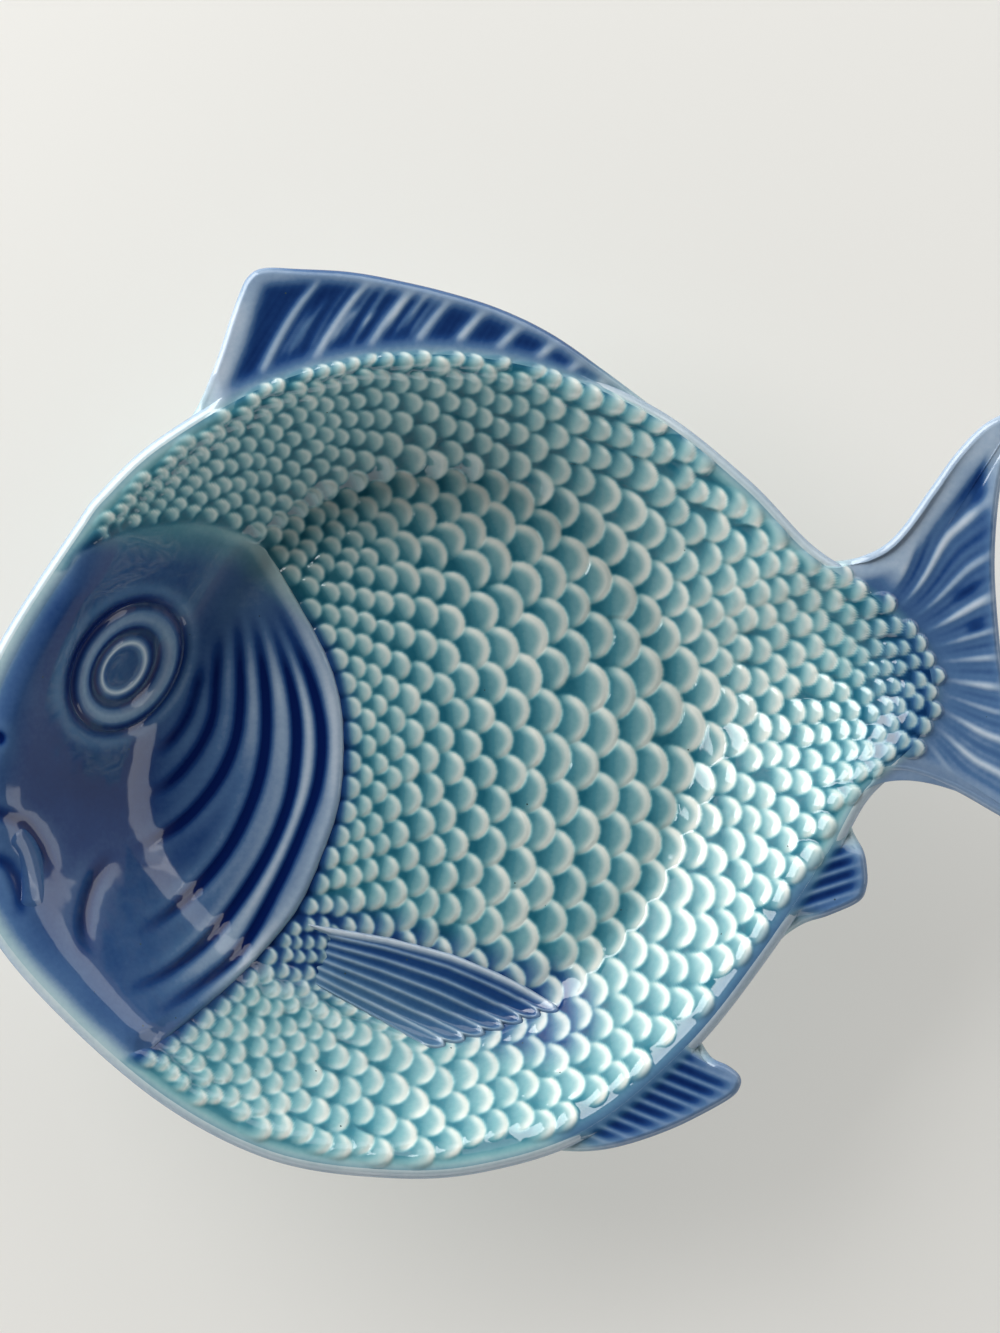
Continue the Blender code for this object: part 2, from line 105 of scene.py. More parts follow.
# Scales: pixel, way they point in degrees, width and row spacing in pixels
SCALE_FLOW = [
    (345, 560, 38, 22, 12), (352, 620, 24, 26, 14), (362, 700, 8, 24, 13), (364, 770, -2, 24, 13),
    (350, 850, -12, 24, 13), (300, 950, -22, 15, 10), (262, 990, -26, 21, 12), (300, 560, 38, 22, 12),
    (250, 490, 22, 19, 12), (150, 490, 33, 15, 11), (326, 427, 12, 18, 13), (480, 395, -3, 22, 15),
    (410, 480, 14, 31, 19), (405, 557, 32, 38, 19), (500, 560, 22, 44, 22), (500, 650, 12, 45, 23),
    (420, 700, 6, 34, 18), (590, 565, 2, 46, 24), (640, 700, -3, 50, 24), (620, 520, -15, 42, 24),
    (600, 450, -22, 28, 20), (700, 560, -26, 34, 18), (700, 480, -32, 27, 17), (764, 647, -8, 30, 17),
    (820, 610, -14, 26, 15), (892, 672, -3, 19, 12), (850, 770, -3, 23, 14), (748, 872, 0, 33, 18),
    (801, 821, 0, 29, 18), (648, 888, -5, 42, 22), (590, 760, -3, 48, 24), (420, 800, -8, 36, 19),
    (400, 900, -20, 34, 18), (520, 890, -14, 43, 22), (411, 1099, -12, 34, 21), (230, 1050, -25, 25, 15),
    (165, 1080, -30, 19, 12), (330, 1130, -12, 29, 18), (480, 1085, -3, 33, 20), (560, 1060, 3, 34, 20),
    (690, 1000, 8, 34, 19), (640, 1080, 8, 32, 19),
]
# How thin the glaze is where it pools, and the line above which scales end at the back fin's root
POOL_THIN = 0.05
BACK_LINE = 480
# Stretches in pixels where the scales turn paler, down the belly and across to the tail, and darker again
BELLY_PALER = (860, 1050)
TAIL_PALER = (640, 780)
TAIL_DARKER = (800, 890)
# Bare band inside the rim's crest, in mm, at bearings in degrees; below 0 the scales run past it
SCALE_MARGIN = [
    (-80, 5), (-24, 5), (-10, 4), (-4, 1), (2, -2), (17, -2), (23, 0), (28, 3.5), (40, 3), (52, 1),
    (60, -0.5), (112, -0.5), (120, 1), (130, 2.5), (150, 3.5), (230, 4.5),
]

# Head: its rear edge and the grooves of the gill cover, in pixels
GILL_EDGE = [
    (40, 568), (78, 552), (115, 535), (149, 525), (195, 521), (230, 528), (262, 545), (298, 602),
    (326, 654), (340, 698), (344, 744), (340, 801), (323, 854), (297, 910), (253, 963), (208, 1005),
    (157, 1045), (112, 1066), (70, 1082),
]
# Points off the picture that close the head's outline in front of the snout, and the cheek inside it
SNOUT_SIDE = [(-150, 1150), (-260, 800), (-150, 500)]
CHEEK = (150, 750)
GILL_GROOVES = [
    [(262, 586), (288, 630), (310, 680), (321, 730), (318, 780), (302, 830), (276, 888), (240, 950),
     (195, 988), (140, 1024)],
    [(255, 590), (277, 640), (293, 695), (297, 745), (288, 805), (260, 868), (215, 931), (170, 970),
     (112, 998)],
    [(246, 592), (258, 640), (266, 700), (264, 755), (250, 806), (222, 858), (178, 905), (126, 942)],
    [(236, 600), (240, 660), (240, 710), (233, 748), (214, 786), (184, 820), (150, 842), (122, 852)],
    [(222, 622), (216, 680), (212, 718), (196, 752), (170, 782), (138, 800)],
    [(205, 655), (192, 705), (176, 734), (152, 758)],
]
# How strong each groove is, their half width in pixels and their depth in mm
GROOVE_STRENGTHS = (1.05, 1.1, 0.95, 0.75, 0.55, 0.45)
GROOVE_WIDTH = 6.8
GROOVE_DEPTH = 0.72
# Eye: middle, tilt of its long axis in degrees, width as a share of length, reach, shift of the pupil
EYE = (125.5, 666)
EYE_AXIS = 56
EYE_SQUEEZE = 0.70
EYE_REACH = 71
EYE_LEAN = (-10, 0)
# How thin the glaze is on the eye, by pixels out from its middle
EYE_PAINT = [
    (0, 0.30), (20, 0.26), (24, 0.5), (28, 0.98), (32, 0.5), (37, 0.02), (44, 0.02), (48, 0.5),
    (54, 0.66), (61, 0.56), (67, 0.05), (75, 0.0),
]
# Creases of the mouth and the cheek, the welt's curve and half width, and the nostril, in pixels
MOUTH_CREASES = [
    [(-40, 800), (0, 814), (24, 824), (40, 846), (50, 872), (52, 890)],
    [(-40, 850), (0, 861), (12, 872), (19, 890), (20, 908), (14, 926)],
]
CHEEK_CREASE = [(122, 846), (100, 868), (86, 898), (82, 930), (88, 968)]
LIP_PATH = [(-12, 824), (8, 833), (24, 850), (31, 878), (30, 908), (18, 930)]
LIP_HALF = 12
NOSTRIL = (-2, 738)
# Head, in mm: thickness over the face, bed under it, bare band inside the crest, round of the rear edge
HEAD_THICKNESS = 1.8
HEAD_BED = 1.4
HEAD_BORDER = 2.6
HEAD_ROUND = 2.4
# Soft patches where the head's glaze is thinner, or thicker below 0: pixel, reach in pixels and amount
HEAD_PATCHES = [(248, 592, 36, 0.13), (85, 630, 50, -0.13), (95, 780, 50, -0.08), (140, 960, 85, 0.06)]
# Stretches in pixels where the gill cover and its rear edge turn paler, and where the crown's edge thins
GILL_PALER = (120, 260)
EDGE_PALER = (150, 290)
CROWN_THINS = (580, 535)

# Pectoral fin: a fan about a point, with its top ray by pixels out and its lowest, in degrees below level
FAN_POINT = (162, 899)
FAN_TOP = [(125, 9.4), (228, 9.5), (293, 10.6), (358, 12.8), (419, 15.5)]
FAN_LOW = 29.4
# Pixels out to its root, to where it starts to hide the scales, and to its top and lowest tips
FAN_ROOT = 128
FAN_BARE = 172
FAN_TIPS = (419, 311)
FAN_RAYS = 7
# Pixels out over which the fan rises from its root, and how far the corners of its tips are drawn back
FAN_RISE = (150, 196)
FAN_LOBE = 9
# Line down the fan's middle, for the cobalt that spreads round it
FAN_LINE = [(300, 940), (400, 968), (480, 995), (550, 1010)]

# Outlines of the fins' free edges, in pixels, from rim to rim
FINS = {
    "dorsal_fin": [
        (150, 454), (171, 435), (189, 416), (201, 395), (211, 372), (220, 347), (229, 319), (238, 294),
        (247, 276), (263, 267), (300, 268), (350, 271), (400, 280), (450, 292), (500, 308), (550, 332),
        (600, 366), (650, 403), (702, 447),
    ],
    "tail_fin": [
        (822, 560), (842, 560), (862, 556), (885, 545), (905, 525), (930, 490), (955, 455), (980, 428),
        (1003, 414), (1022, 412), (1020, 432), (1008, 460), (1000, 500), (996, 560), (999, 620),
        (1006, 680), (1018, 740), (1038, 796), (1056, 834), (1048, 842), (1025, 830), (995, 813),
        (960, 793), (930, 780), (905, 773), (885, 774), (866, 786), (852, 810),
    ],
    "anal_fin": [
        (850, 822), (858, 838), (865, 852), (868, 868), (868, 886), (860, 902), (830, 916), (805, 925),
        (780, 942), (764, 956),
    ],
    "pelvic_fin": [
        (700, 1040), (712, 1058), (728, 1066), (740, 1076), (741, 1087), (730, 1100), (690, 1122),
        (660, 1135), (630, 1145), (600, 1152), (572, 1154), (548, 1151), (528, 1147),
    ],
}
# Rise of a fin as a share of its reach past the crest, and the round of its free edge in mm
FIN_RISE = 0.1
FIN_ROUND = 2.1
# Height of the rays over the cells between them, and the fall of the border, in mm
RAY_HEIGHT = 0.5
BORDER_FALL = 0.8
# Feet of the back fin's rays, and the point that the tail's rays spread from with their ways in degrees
DORSAL_RAYS = [
    (262, 371), (313, 360), (368, 345), (416, 338), (456, 338), (494, 347), (533, 356), (564, 368),
    (594, 381), (624, 396),
]
TAIL_POINT = (800, 668)
TAIL_RAYS = (-45, -36, -27.8, -19.6, -12.6, -5.7, 3.2, 11, 20.3, 30.7, 41.7, 52)
# Dark spots between the tail's rays, in pixels
TAIL_SPOTS = [[(948, 602), (966, 592), (984, 582)], [(962, 631), (980, 625), (990, 622)]]
# Width of the pale border at shares of the way along the free edge, in pixels
BORDERS = {
    "dorsal_fin": [(0, 16), (0.2, 25), (0.29, 22), (0.38, 14), (0.8, 11), (0.9, 8), (1, 5)],
    "tail_fin": [(0.1, 24), (0.3, 30), (0.4, 8), (0.66, 8), (0.74, 18), (0.9, 20)],
    "anal_fin": [(0, 16), (0.35, 13), (1, 10)],
    "pelvic_fin": [(0, 15), (0.45, 13), (1, 9)],
}
# Way of the stripes in degrees and their pitch in pixels
STRIPES = {"anal_fin": (18, 12.5), "pelvic_fin": (-22, 13)}
# Stretch in pixels where the back fin's root softens, and distances out where the tail's rays close up
DORSAL_SOFTER = (610, 520)
TAIL_CLOSE = (205, 95)
# How thin the glaze is between the tail's rays, by their ways in degrees
TAIL_CELLS = [(-30, 0.42), (0, 0.36), (15, 0.3), (32, 0.24)]

# Cobalt: stretches in pixels, up and across, where its edge on the head softens at the crown
CROWN_UP, CROWN_ACROSS = (650, 550), (60, 190)
# Stretch across, row and spread to both sides where it runs in at the tail's root, in pixels
ROOT_ACROSS, ROOT_ROW, ROOT_SPREAD = (835, 930), 670, (130, 90)
# Its bearing and spread to both sides along the belly's rim, in degrees
BELLY_BEARING, BELLY_SPREAD = -45, (33, 24)
# Stretch along X, in mm, where the outside of the head takes it
OUTSIDE_COBALT = (-70, -120)

# Drawing boards: pixels of the photograph that the fish covers, and a margin that takes in all of them
BOARD_LEFT, BOARD_TOP = -90, 230
BOARD_WIDE, BOARD_TALL = 1190, 1000
WHOLE_BOARD = 2000
BOARD_X, BOARD_Y = np.meshgrid(
    BOARD_LEFT + np.arange(BOARD_WIDE, dtype=float), BOARD_TOP + np.arange(BOARD_TALL, dtype=float)
)


def smooth(values, start, end):
    """0 at start, 1 at end, eased at both."""
    t = np.clip((values - start) / (end - start), 0, 1)
    return t * t * (3 - 2 * t)


def bell(distance, width):
    """1 on a line, falling off as a bell over the width."""
    return np.exp(-(distance / width) ** 2)


def quarter_round(share):
    """Height of a quarter circle at a share of its width: 0 at its foot, 1 from its top on."""
    return np.sqrt(1 - (1 - np.clip(share, 0, 1)) ** 2)


def raised(plan, height):
    """Plan points with their heights added."""
    return np.concatenate([plan, np.broadcast_to(height, plan.shape[:-1])[..., None]], axis=-1)


def unit(vectors):
    """The vectors at length 1."""
    return vectors / np.maximum(np.linalg.norm(vectors, axis=-1, keepdims=True), 1e-9)


def direction(angle):
    """Unit vectors in the plane at angles in radians."""
    return np.stack([np.cos(angle), np.sin(angle)], axis=-1)


def lookup(at, table, period=None):
    """Values at places in a table of places and values, blended between its rows."""
    places, values = zip(*table)
    return np.interp(at, places, values, period=period)


def polar(spokes):
    """Angles of spokes in the plane, in rising order, and their lengths."""
    angle = np.arctan2(spokes[:, 1], spokes[:, 0])
    order = np.argsort(angle)
    return angle[order], np.linalg.norm(spokes, axis=1)[order]


def around(row, column, reach):
    """Window of a board that reaches so many rows and columns to each side of a place."""
    return slice(max(row - reach, 0), row + reach + 1), slice(max(column - reach, 0), column + reach + 1)


def board_far(place):
    """Distance of the board's pixels from a place."""
    return np.hypot(BOARD_X - place[0], BOARD_Y - place[1])


def changes(field, plan, step):
    """Change of a field from a step before plan points to a step past them, along X and along Y."""
    return [field(plan + way) - field(plan - way) for way in step * np.eye(2)]


def spline(points, closed=False, steps=12):
    """Smooth curve through the points (Catmull-Rom), with some steps a span."""
    points = np.asarray(points, float)
    if closed:
        line = np.vstack([points[-1:], points, points[:2]])
    else:
        line = np.vstack([2 * points[:1] - points[1:2], points, 2 * points[-1:] - points[-2:-1]])
    before, start, end, after = line[:-3], line[1:-2], line[2:-1], line[3:]
    t = np.linspace(0, 1, steps, endpoint=False)[:, None, None]
    curve = 0.5 * (
        2 * start
        + (end - before) * t
        + (2 * before - 5 * start + 4 * end - after) * t**2
        + (3 * start - before - 3 * end + after) * t**3
    )
    curve = curve.transpose(1, 0, 2).reshape(-1, 2)
    return curve if closed else np.vstack([curve, points[-1:]])


def even_steps(line, steps, closed=False):
    """The line again as points at even distances along it."""
    if closed:
        line = np.vstack([line, line[:1]])
    run = np.concatenate([[0], np.cumsum(np.linalg.norm(np.diff(line, axis=0), axis=1))])
    at = np.linspace(0, run[-1], steps, endpoint=not closed)
    return np.column_stack([np.interp(at, run, line[:, k]) for k in range(2)])


def rim_table():
    """Angles round the floor's middle and distances to the rim's crest there."""
    shape = spline(RIM_SHAPE, closed=True, steps=24)
    shape = (shape - (shape.max(0) + shape.min(0)) / 2) / (shape.max(0) - shape.min(0))
    return polar(shape * CREST - FLOOR_MIDDLE)


RIM_ANGLES, RIM_REACHES = rim_table()


def rim_reach(angle):
    """Distance from the floor's middle to the rim's crest at an angle in radians."""
    return np.interp(angle, RIM_ANGLES, RIM_REACHES, period=2 * math.pi)


def crest_point(angle):
    """Plan points of the rim's crest."""
    return FLOOR_MIDDLE + direction(angle) * rim_reach(angle)[..., None]


def rim_outward(angle):
    """Plan vectors square to the rim's crest, pointing out of the bowl."""
    along = crest_point(angle + 0.02) - crest_point(angle - 0.02)
    return unit(np.stack([along[..., 1], -along[..., 0]], axis=-1))


def floor_reach(angle):
    """Distance from the floor's middle to the oval where the wall starts to rise."""
    return 1 / np.hypot(np.cos(angle) / FLOOR_HALF[0], np.sin(angle) / FLOOR_HALF[1])


def climb(share):
    """Height of the wall, 0 to 1, and its slope: it grows over FLOOR_BEND and dies over RIM_BEND."""
    share = np.clip(share, 0, 1)
    whole = 1 - (FLOOR_BEND + RIM_BEND) / 2
    lower = share**2 / (2 * FLOOR_BEND)
    straight = share - FLOOR_BEND / 2
    upper = whole - (1 - share) ** 2 / (2 * RIM_BEND)
    height = np.where(share < FLOOR_BEND, lower, np.where(share < 1 - RIM_BEND, straight, upper))
    slope = np.minimum(1, np.minimum(share / FLOOR_BEND, (1 - share) / RIM_BEND))
    return height / whole, slope / whole


def bearing(plan):
    """Angle of plan points round the floor's middle and their distance from it."""
    spoke = plan - FLOOR_MIDDLE
    return np.arctan2(spoke[..., 1], spoke[..., 0]), np.hypot(spoke[..., 0], spoke[..., 1])


def inner_height(plan):
    """Height of the bowl's inner face above the ground at plan points."""
    angle, reach = bearing(plan)
    floor = floor_reach(angle)
    return FLOOR_TOP + DEPTH * climb((reach - floor) / (rim_reach(angle) - floor))[0]


def lay(plan, height):
    """Points at a height above the inner face, square to it."""
    step = 0.5
    slope_x, slope_y = (change / (2 * step) for change in changes(inner_height, plan, step))
    square = unit(np.stack([-slope_x, -slope_y, np.ones_like(slope_x)], axis=-1))
    foot = raised(plan, inner_height(plan))
    return foot + square * np.broadcast_to(height, slope_x.shape)[..., None]


AIM = np.array([PHOTO_WIDE / 2 - FISH_PIXEL[0], FISH_PIXEL[1] - PHOTO_TALL / 2]) * PIXEL


def to_photo(points):
    """Pixels where points fall: straight down, shrinking towards the picture's middle with depth."""
    near = CAMERA_RISE / (CAMERA_RISE + RIM_HEIGHT - points[..., 2]) / PIXEL
    across = PHOTO_WIDE / 2 + (points[..., 0] - AIM[0]) * near
    down = PHOTO_TALL / 2 - (points[..., 1] - AIM[1]) * near
    return np.stack([across, down], axis=-1)


def from_photo(pixels, height):
    """Plan points behind pixels at a height above the ground."""
    pixels = np.asarray(pixels, float)
    far = (CAMERA_RISE + RIM_HEIGHT - height) / CAMERA_RISE * PIXEL
    x = AIM[0] + (pixels[..., 0] - PHOTO_WIDE / 2) * far
    y = AIM[1] - (pixels[..., 1] - PHOTO_TALL / 2) * far
    return np.stack([x, y], axis=-1)


def onto_face(pixels):
    """Plan points of the inner face behind pixels: height and plan are worked out in turn."""
    height = RIM_HEIGHT
    for _ in range(8):
        plan = from_photo(pixels, height)
        height = inner_height(plan)
    return plan


def read(board, pixels):
    """Values of a board at pixels, blended between the four nearest."""
    x = np.clip(pixels[..., 0] - BOARD_LEFT, 0, BOARD_WIDE - 1.001)
    y = np.clip(pixels[..., 1] - BOARD_TOP, 0, BOARD_TALL - 1.001)
    column, row = x.astype(int), y.astype(int)
    u, v = x - column, y - row
    upper = board[row, column] * (1 - u) + board[row, column + 1] * u
    lower = board[row + 1, column] * (1 - u) + board[row + 1, column + 1] * u
    return upper * (1 - v) + lower * v


def soften(board, width):
    """The board blurred by a bell of a width in pixels, one way and then the other."""
    reach = int(3 * width) + 1
    weights = bell(np.arange(-reach, reach + 1), math.sqrt(2) * width)
    weights /= weights.sum()
    for axis in (0, 1):
        edges = [(reach, reach) if k == axis else (0, 0) for k in (0, 1)]
        padded = np.moveaxis(np.pad(board, edges, mode="edge"), axis, 0)
        count = board.shape[axis]
        blurred = sum(weight * padded[k : k + count] for k, weight in enumerate(weights))
        board = np.moveaxis(blurred, 0, axis)
    return board


def measured(line, margin):
    """Window round a line of pixels, distance to the line there, and share of the way along it."""
    low = np.maximum(line.min(0) - margin - (BOARD_LEFT, BOARD_TOP), 0).astype(int)
    high = (line.max(0) + margin - (BOARD_LEFT, BOARD_TOP)).astype(int) + 1
    window = (slice(low[1], high[1]), slice(low[0], high[0]))
    x, y = BOARD_X[window], BOARD_Y[window]
    nearest = np.full(x.shape, np.inf)
    share = np.zeros(x.shape)
    lengths = np.linalg.norm(np.diff(line, axis=0), axis=1)
    begun = np.concatenate([[0], np.cumsum(lengths)])
    for start, end, length, run in zip(line[:-1], line[1:], lengths, begun):
        way = (end - start) / length
        t = np.clip((x - start[0]) * way[0] + (y - start[1]) * way[1], 0, length)
        away = np.hypot(x - start[0] - t * way[0], y - start[1] - t * way[1])
        closer = away < nearest
        nearest[closer] = away[closer]
        share[closer] = (run + t)[closer]
    return window, nearest, share / begun[-1]


def stroke(board, points, height, width, fade=0.2, taper=0):
    """Adds a ridge or a groove along a curve: a bell across it that tapers, and fades at both ends."""
    window, away, share = measured(spline(points, steps=6), 4 * width)
    ends = smooth(np.minimum(share, 1 - share), 0, fade)
    board[window] += height * bell(away, width * (1 - taper * share)) * ends


def turned(pixels, way):
    """Lengths along and across a way on the picture, which is counted up from the level in degrees."""
    cos, sin = math.cos(math.radians(way)), math.sin(math.radians(way))
    return pixels[0] * cos - pixels[1] * sin, pixels[0] * sin + pixels[1] * cos


# Room on the inner face up to the rim's crest, and reach beyond the crest at its height, in mm on the board
BOARD = np.stack([BOARD_X, BOARD_Y], axis=-1)
BOARD_ANGLE, BOARD_REACH = bearing(onto_face(BOARD))
ROOM = rim_reach(BOARD_ANGLE) - BOARD_REACH
RIM_BEARING, RIM_FAR = bearing(from_photo(BOARD, RIM_HEIGHT))
BEYOND = RIM_FAR - rim_reach(RIM_BEARING)


def head_shares():
    """Share of the way from the cheek to the head's rear edge, round the cheek, on the board."""
    angles, reaches = polar(spline(GILL_EDGE + SNOUT_SIDE, closed=True) - CHEEK)
    here = np.arctan2(BOARD_Y - CHEEK[1], BOARD_X - CHEEK[0])
    return board_far(CHEEK) / np.interp(here, angles, reaches, period=2 * math.pi)


def fan_places():
    """Places in the pectoral fin: share across it from its top ray, and pixels out from its point."""
    out = board_far(FAN_POINT)
    top = lookup(out, FAN_TOP)
    turn = np.degrees(np.arctan2(BOARD_Y - FAN_POINT[1], BOARD_X - FAN_POINT[0]))
    return (turn - top) / (FAN_LOW - top), out


# Boards of places: on the head, from its rear edge and in the pectoral fin
HEAD_SHARE = head_shares()
_, GILL_AWAY, _ = measured(spline(GILL_EDGE, steps=4), WHOLE_BOARD)
FAN_ACROSS, FAN_OUT = fan_places()
FAN_END = FAN_TIPS[0] + (FAN_TIPS[1] - FAN_TIPS[0]) * np.clip(FAN_ACROSS, 0, 1)


def scale_fields(x, y):
    """Way, width and row spacing of the scales: averages of SCALE_FLOW, weighted by nearness."""
    total = np.zeros((5,) + x.shape)
    for place_x, place_y, way, width, spacing in SCALE_FLOW:
        weight = 1 / ((x - place_x) ** 2 + (y - place_y) ** 2 + 30**2) ** 2
        turn = math.radians(way)
        for k, value in enumerate((math.cos(turn), math.sin(turn), width, spacing, 1)):
            total[k] += weight * value
    cos, sin = total[0], total[1]
    length = np.hypot(cos, sin)
    return cos / length, sin / length, total[2] / total[4], total[3] / total[4]


def place_scales():
    """Rows of scales laid from the head to the tail.

    The free pixel nearest to the head's edge takes the next scale, which keeps an oval of its
    width and row spacing for itself, so each row falls into the gaps of the row before.
    """
    coarse = (slice(None, None, 2), slice(None, None, 2))
    x, y = BOARD_X[coarse], BOARD_Y[coarse]
    cos, sin, width, spacing = scale_fields(x, y)
    margin = lookup(np.degrees(BOARD_ANGLE[coarse]), SCALE_MARGIN, period=360)
    fin = (FAN_ACROSS[coarse] > 0.05) & (FAN_ACROSS[coarse] < 0.95) & (FAN_OUT[coarse] > FAN_BARE)
    fin &= FAN_OUT[coarse] < FAN_END[coarse] - 6
    rng = np.random.default_rng(5)
    turn = GILL_AWAY[coarse] + 0.03 * y + rng.normal(0, 0.5, x.shape)
    turn[(ROOM[coarse] < margin) | (HEAD_SHARE[coarse] < 1) | (GILL_AWAY[coarse] < 6) | fin] = np.inf
    scales = []
    while np.isfinite(turn.min()):
        row, column = divmod(int(np.argmin(turn)), turn.shape[1])
        at = (row, column)
        scales.append((x[at], y[at], cos[at], sin[at], width[at], spacing[at]))
        reach = int(max(width[at], 1.2 * spacing[at]) / 2) + 2
        near = around(row, column, reach)
        across, up = x[near] - x[at], y[at] - y[near]
        along = across * cos[at] + up * sin[at]
        side = up * cos[at] - across * sin[at]
        turn[near][(along / (1.155 * spacing[at])) ** 2 + (side / width[at]) ** 2 < 0.93] = np.inf
    return scales


def draw_scales():
    """Boards of the scales' height in mm and of how thin the glaze is on them.

    Scales are laid from the tail to the head, each over the bases of those before it. A scale
    climbs from its base, domes over and drops at its free edge. The small ones on the wall stand
    apart like beads. The glaze pools at the base and in the gaps and thins to a pale crescent
    along the free edge. The paint's climb from the dark base to the pale front is partly painted
    shading, and the crescent is brightest on one side as a painted highlight.
    """
    height = np.zeros(BOARD_X.shape)
    thin = np.full(BOARD_X.shape, POOL_THIN)
    rng = np.random.default_rng(11)
    for x, y, cos, sin, width, spacing in reversed(place_scales()):
        small = smooth(width, 42, 26)
        half = (0.56 - 0.08 * small) * width * rng.uniform(0.95, 1.05)
        fore = (1.12 - 0.2 * small) * spacing * rng.uniform(0.94, 1.06)
        back = (1.7 - 0.4 * small) * spacing
        full = (0.15 + 0.08 * small) * PIXEL * math.sqrt(width * spacing) * rng.uniform(0.9, 1.1)
        shade = rng.uniform(-0.05, 0.05)
        row, column = int(y - BOARD_TOP), int(x - BOARD_LEFT)
        reach = int(max(width, 2.2 * spacing)) + 3
        near = around(row, column, reach)
        across, up = BOARD_X[near] - x, y - BOARD_Y[near]
        along = (across * cos + up * sin) / spacing
        side = (up * cos - across * sin) / half
        out = np.hypot(along * spacing / np.where(along > 0, fore, back), side)
        low = 0.15 + 0.3 * small
        lump = full * (low + (1 - low) * smooth(along, -0.75, 0.7)) * np.clip(1 - out**2.3, 0, 1) ** 0.5
        # Dark base to pale front: partly glaze pooled at the base, partly painted shading with the front
        # lit. The crescent is thinner glaze on the free edge, made brightest on one side as a painted
        # highlight.
        front = smooth(along + 0.25 * side, -0.3, 0.65)
        body = (0.38 + 0.12 * small) * smooth(along, -0.55, 0.7 - 0.3 * small)
        crescent = (0.6 - 0.2 * small) * smooth(out, 0.46 - 0.1 * small, 0.9) * front
        pale = POOL_THIN + shade + body + crescent
        over = out < 1
        height[near][over] = lump[over]
        thin[near][over] = pale[over]
    covered = (FAN_ACROSS > 0) & (FAN_ACROSS < 1) & (FAN_OUT > FAN_BARE) & (FAN_OUT < FAN_END)
    height *= 1 - soften(covered.astype(float), 2)
    height *= np.where(BOARD_Y < BACK_LINE, smooth(BEYOND, 2.5, -1.5), 1)
    height = soften(height, 1.2)
    thin = soften(thin, 1) + 0.25 * (height - soften(height, 7))
    thin += 0.12 * smooth(BOARD_Y, *BELLY_PALER) * smooth(thin, 0.55, 0.1)
    thin += 0.08 * smooth(BOARD_X, *TAIL_PALER) - 0.16 * smooth(BOARD_X, *TAIL_DARKER)
    return height, thin


SCALE_HEIGHT, SCALE_THIN_AND_PAINTED_LIGHT = draw_scales()


def eye_rings(out):
    """Height of the eye's rings in mm, by pixels out from its middle along its long axis."""
    return (
        0.15 * bell(out, 16) + 0.35 * bell(out - 28, 4.5) - 0.3 * bell(out - 41, 7)
        + 0.4 * bell(out - 56, 9) - 0.7 * bell(out - EYE_REACH, 6)
    )


def eye_out():
    """Pixels out from the eye's middle, measured so that its rings are ovals seen on the slope."""
    along, side = turned((BOARD_X - EYE[0], BOARD_Y - EYE[1]), EYE_AXIS)
    return np.hypot(along, side / EYE_SQUEEZE)


EYE_OUT = eye_out()


def draw_head():
    """Boards of the head's carving in mm and of how thin its glaze is: gill grooves, mouth, eye's bed.

    The glaze is dark in the grooves and thins on the ridges between them.
    """
    lines = np.zeros(BOARD_X.shape)
    for groove, strength in zip(GILL_GROOVES, GROOVE_STRENGTHS):
        stroke(lines, groove, strength, GROOVE_WIDTH, fade=0.26)
    for crease in MOUTH_CREASES:
        stroke(lines, crease, 0.45, 8, fade=0.3)
    stroke(lines, CHEEK_CREASE, 0.55, 9, fade=0.4)
    lines += 1.2 * bell(board_far(NOSTRIL), 6)
    height = -GROOVE_DEPTH * lines
    gill = smooth(HEAD_SHARE, 0.25, 0.9) * smooth(BOARD_X, *GILL_PALER)
    thin = 0.26 + 0.12 * gill + (1.1 + 0.05 * gill) * (soften(lines, 10) - lines)
    ring = -0.7 * bell(EYE_OUT - EYE_REACH, 6)
    height += np.where(EYE_OUT > EYE_REACH, ring, ring - 0.9 * smooth(EYE_OUT, EYE_REACH, EYE_REACH - 8))
    thin += 0.5 * (ring - soften(ring, 9)) + 0.16 * bell(EYE_OUT - EYE_REACH - 14, 7)
    for x, y, reach, amount in HEAD_PATCHES:
        thin += amount * bell(board_far((x, y)), reach)
    edge = 0.3 * smooth(GILL_AWAY, 19, 7) * (HEAD_SHARE < 1.05) * smooth(BOARD_X, *EDGE_PALER)
    return height, thin + edge


HEAD_HEIGHT, HEAD_THIN = draw_head()


def draw_dorsal(height):
    """Rays of the back fin: bowed ridges that lean less towards the tail, finer ones among the first."""
    leans = np.linspace(58, 24, len(DORSAL_RAYS))
    rng = np.random.default_rng(3)

    def bowed(start, lean, length):
        """Points of a ray that leans over as it grows."""
        bends = np.radians([lean + 6, lean + 1, lean - 7])
        steps = np.column_stack([np.cos(bends), -np.sin(bends)]) * length / 3
        return np.vstack([start, start + np.cumsum(steps, axis=0)])

    for k, (base, lean) in enumerate(zip(DORSAL_RAYS, leans)):
        base = np.array(base)
        ray = bowed(base + (-4, 10), lean, 125)
        stroke(height, ray, rng.uniform(0.85, 1.05), 6, fade=0.12, taper=0.35)
        if k < 3:
            step = np.array(DORSAL_RAYS[k + 1]) - base
            for share in (0.28, 0.45, 0.62, 0.8):
                start = base + step * (share + rng.uniform(-0.05, 0.05)) + (0, rng.uniform(-12, 6))
                ray = bowed(start, lean, rng.uniform(55, 105))
                stroke(height, ray, rng.uniform(0.25, 0.55), 2.6, fade=0.3)


def comb(phase, sharp):
    """Ridges at each whole number of a phase."""
    return np.cos(math.pi * (phase - np.round(phase))) ** sharp


def nearest_outline(name, window):
    """Distance to the nearest outline of the other fins, in a window of the board."""
    others = np.vstack([spline(outline, steps=2) for other, outline in FINS.items() if other != name])
    x, y = BOARD_X[window], BOARD_Y[window]
    nearest = np.full(x.shape, np.inf)
    for point in others:
        nearest = np.minimum(nearest, np.hypot(x - point[0], y - point[1]))
    return nearest


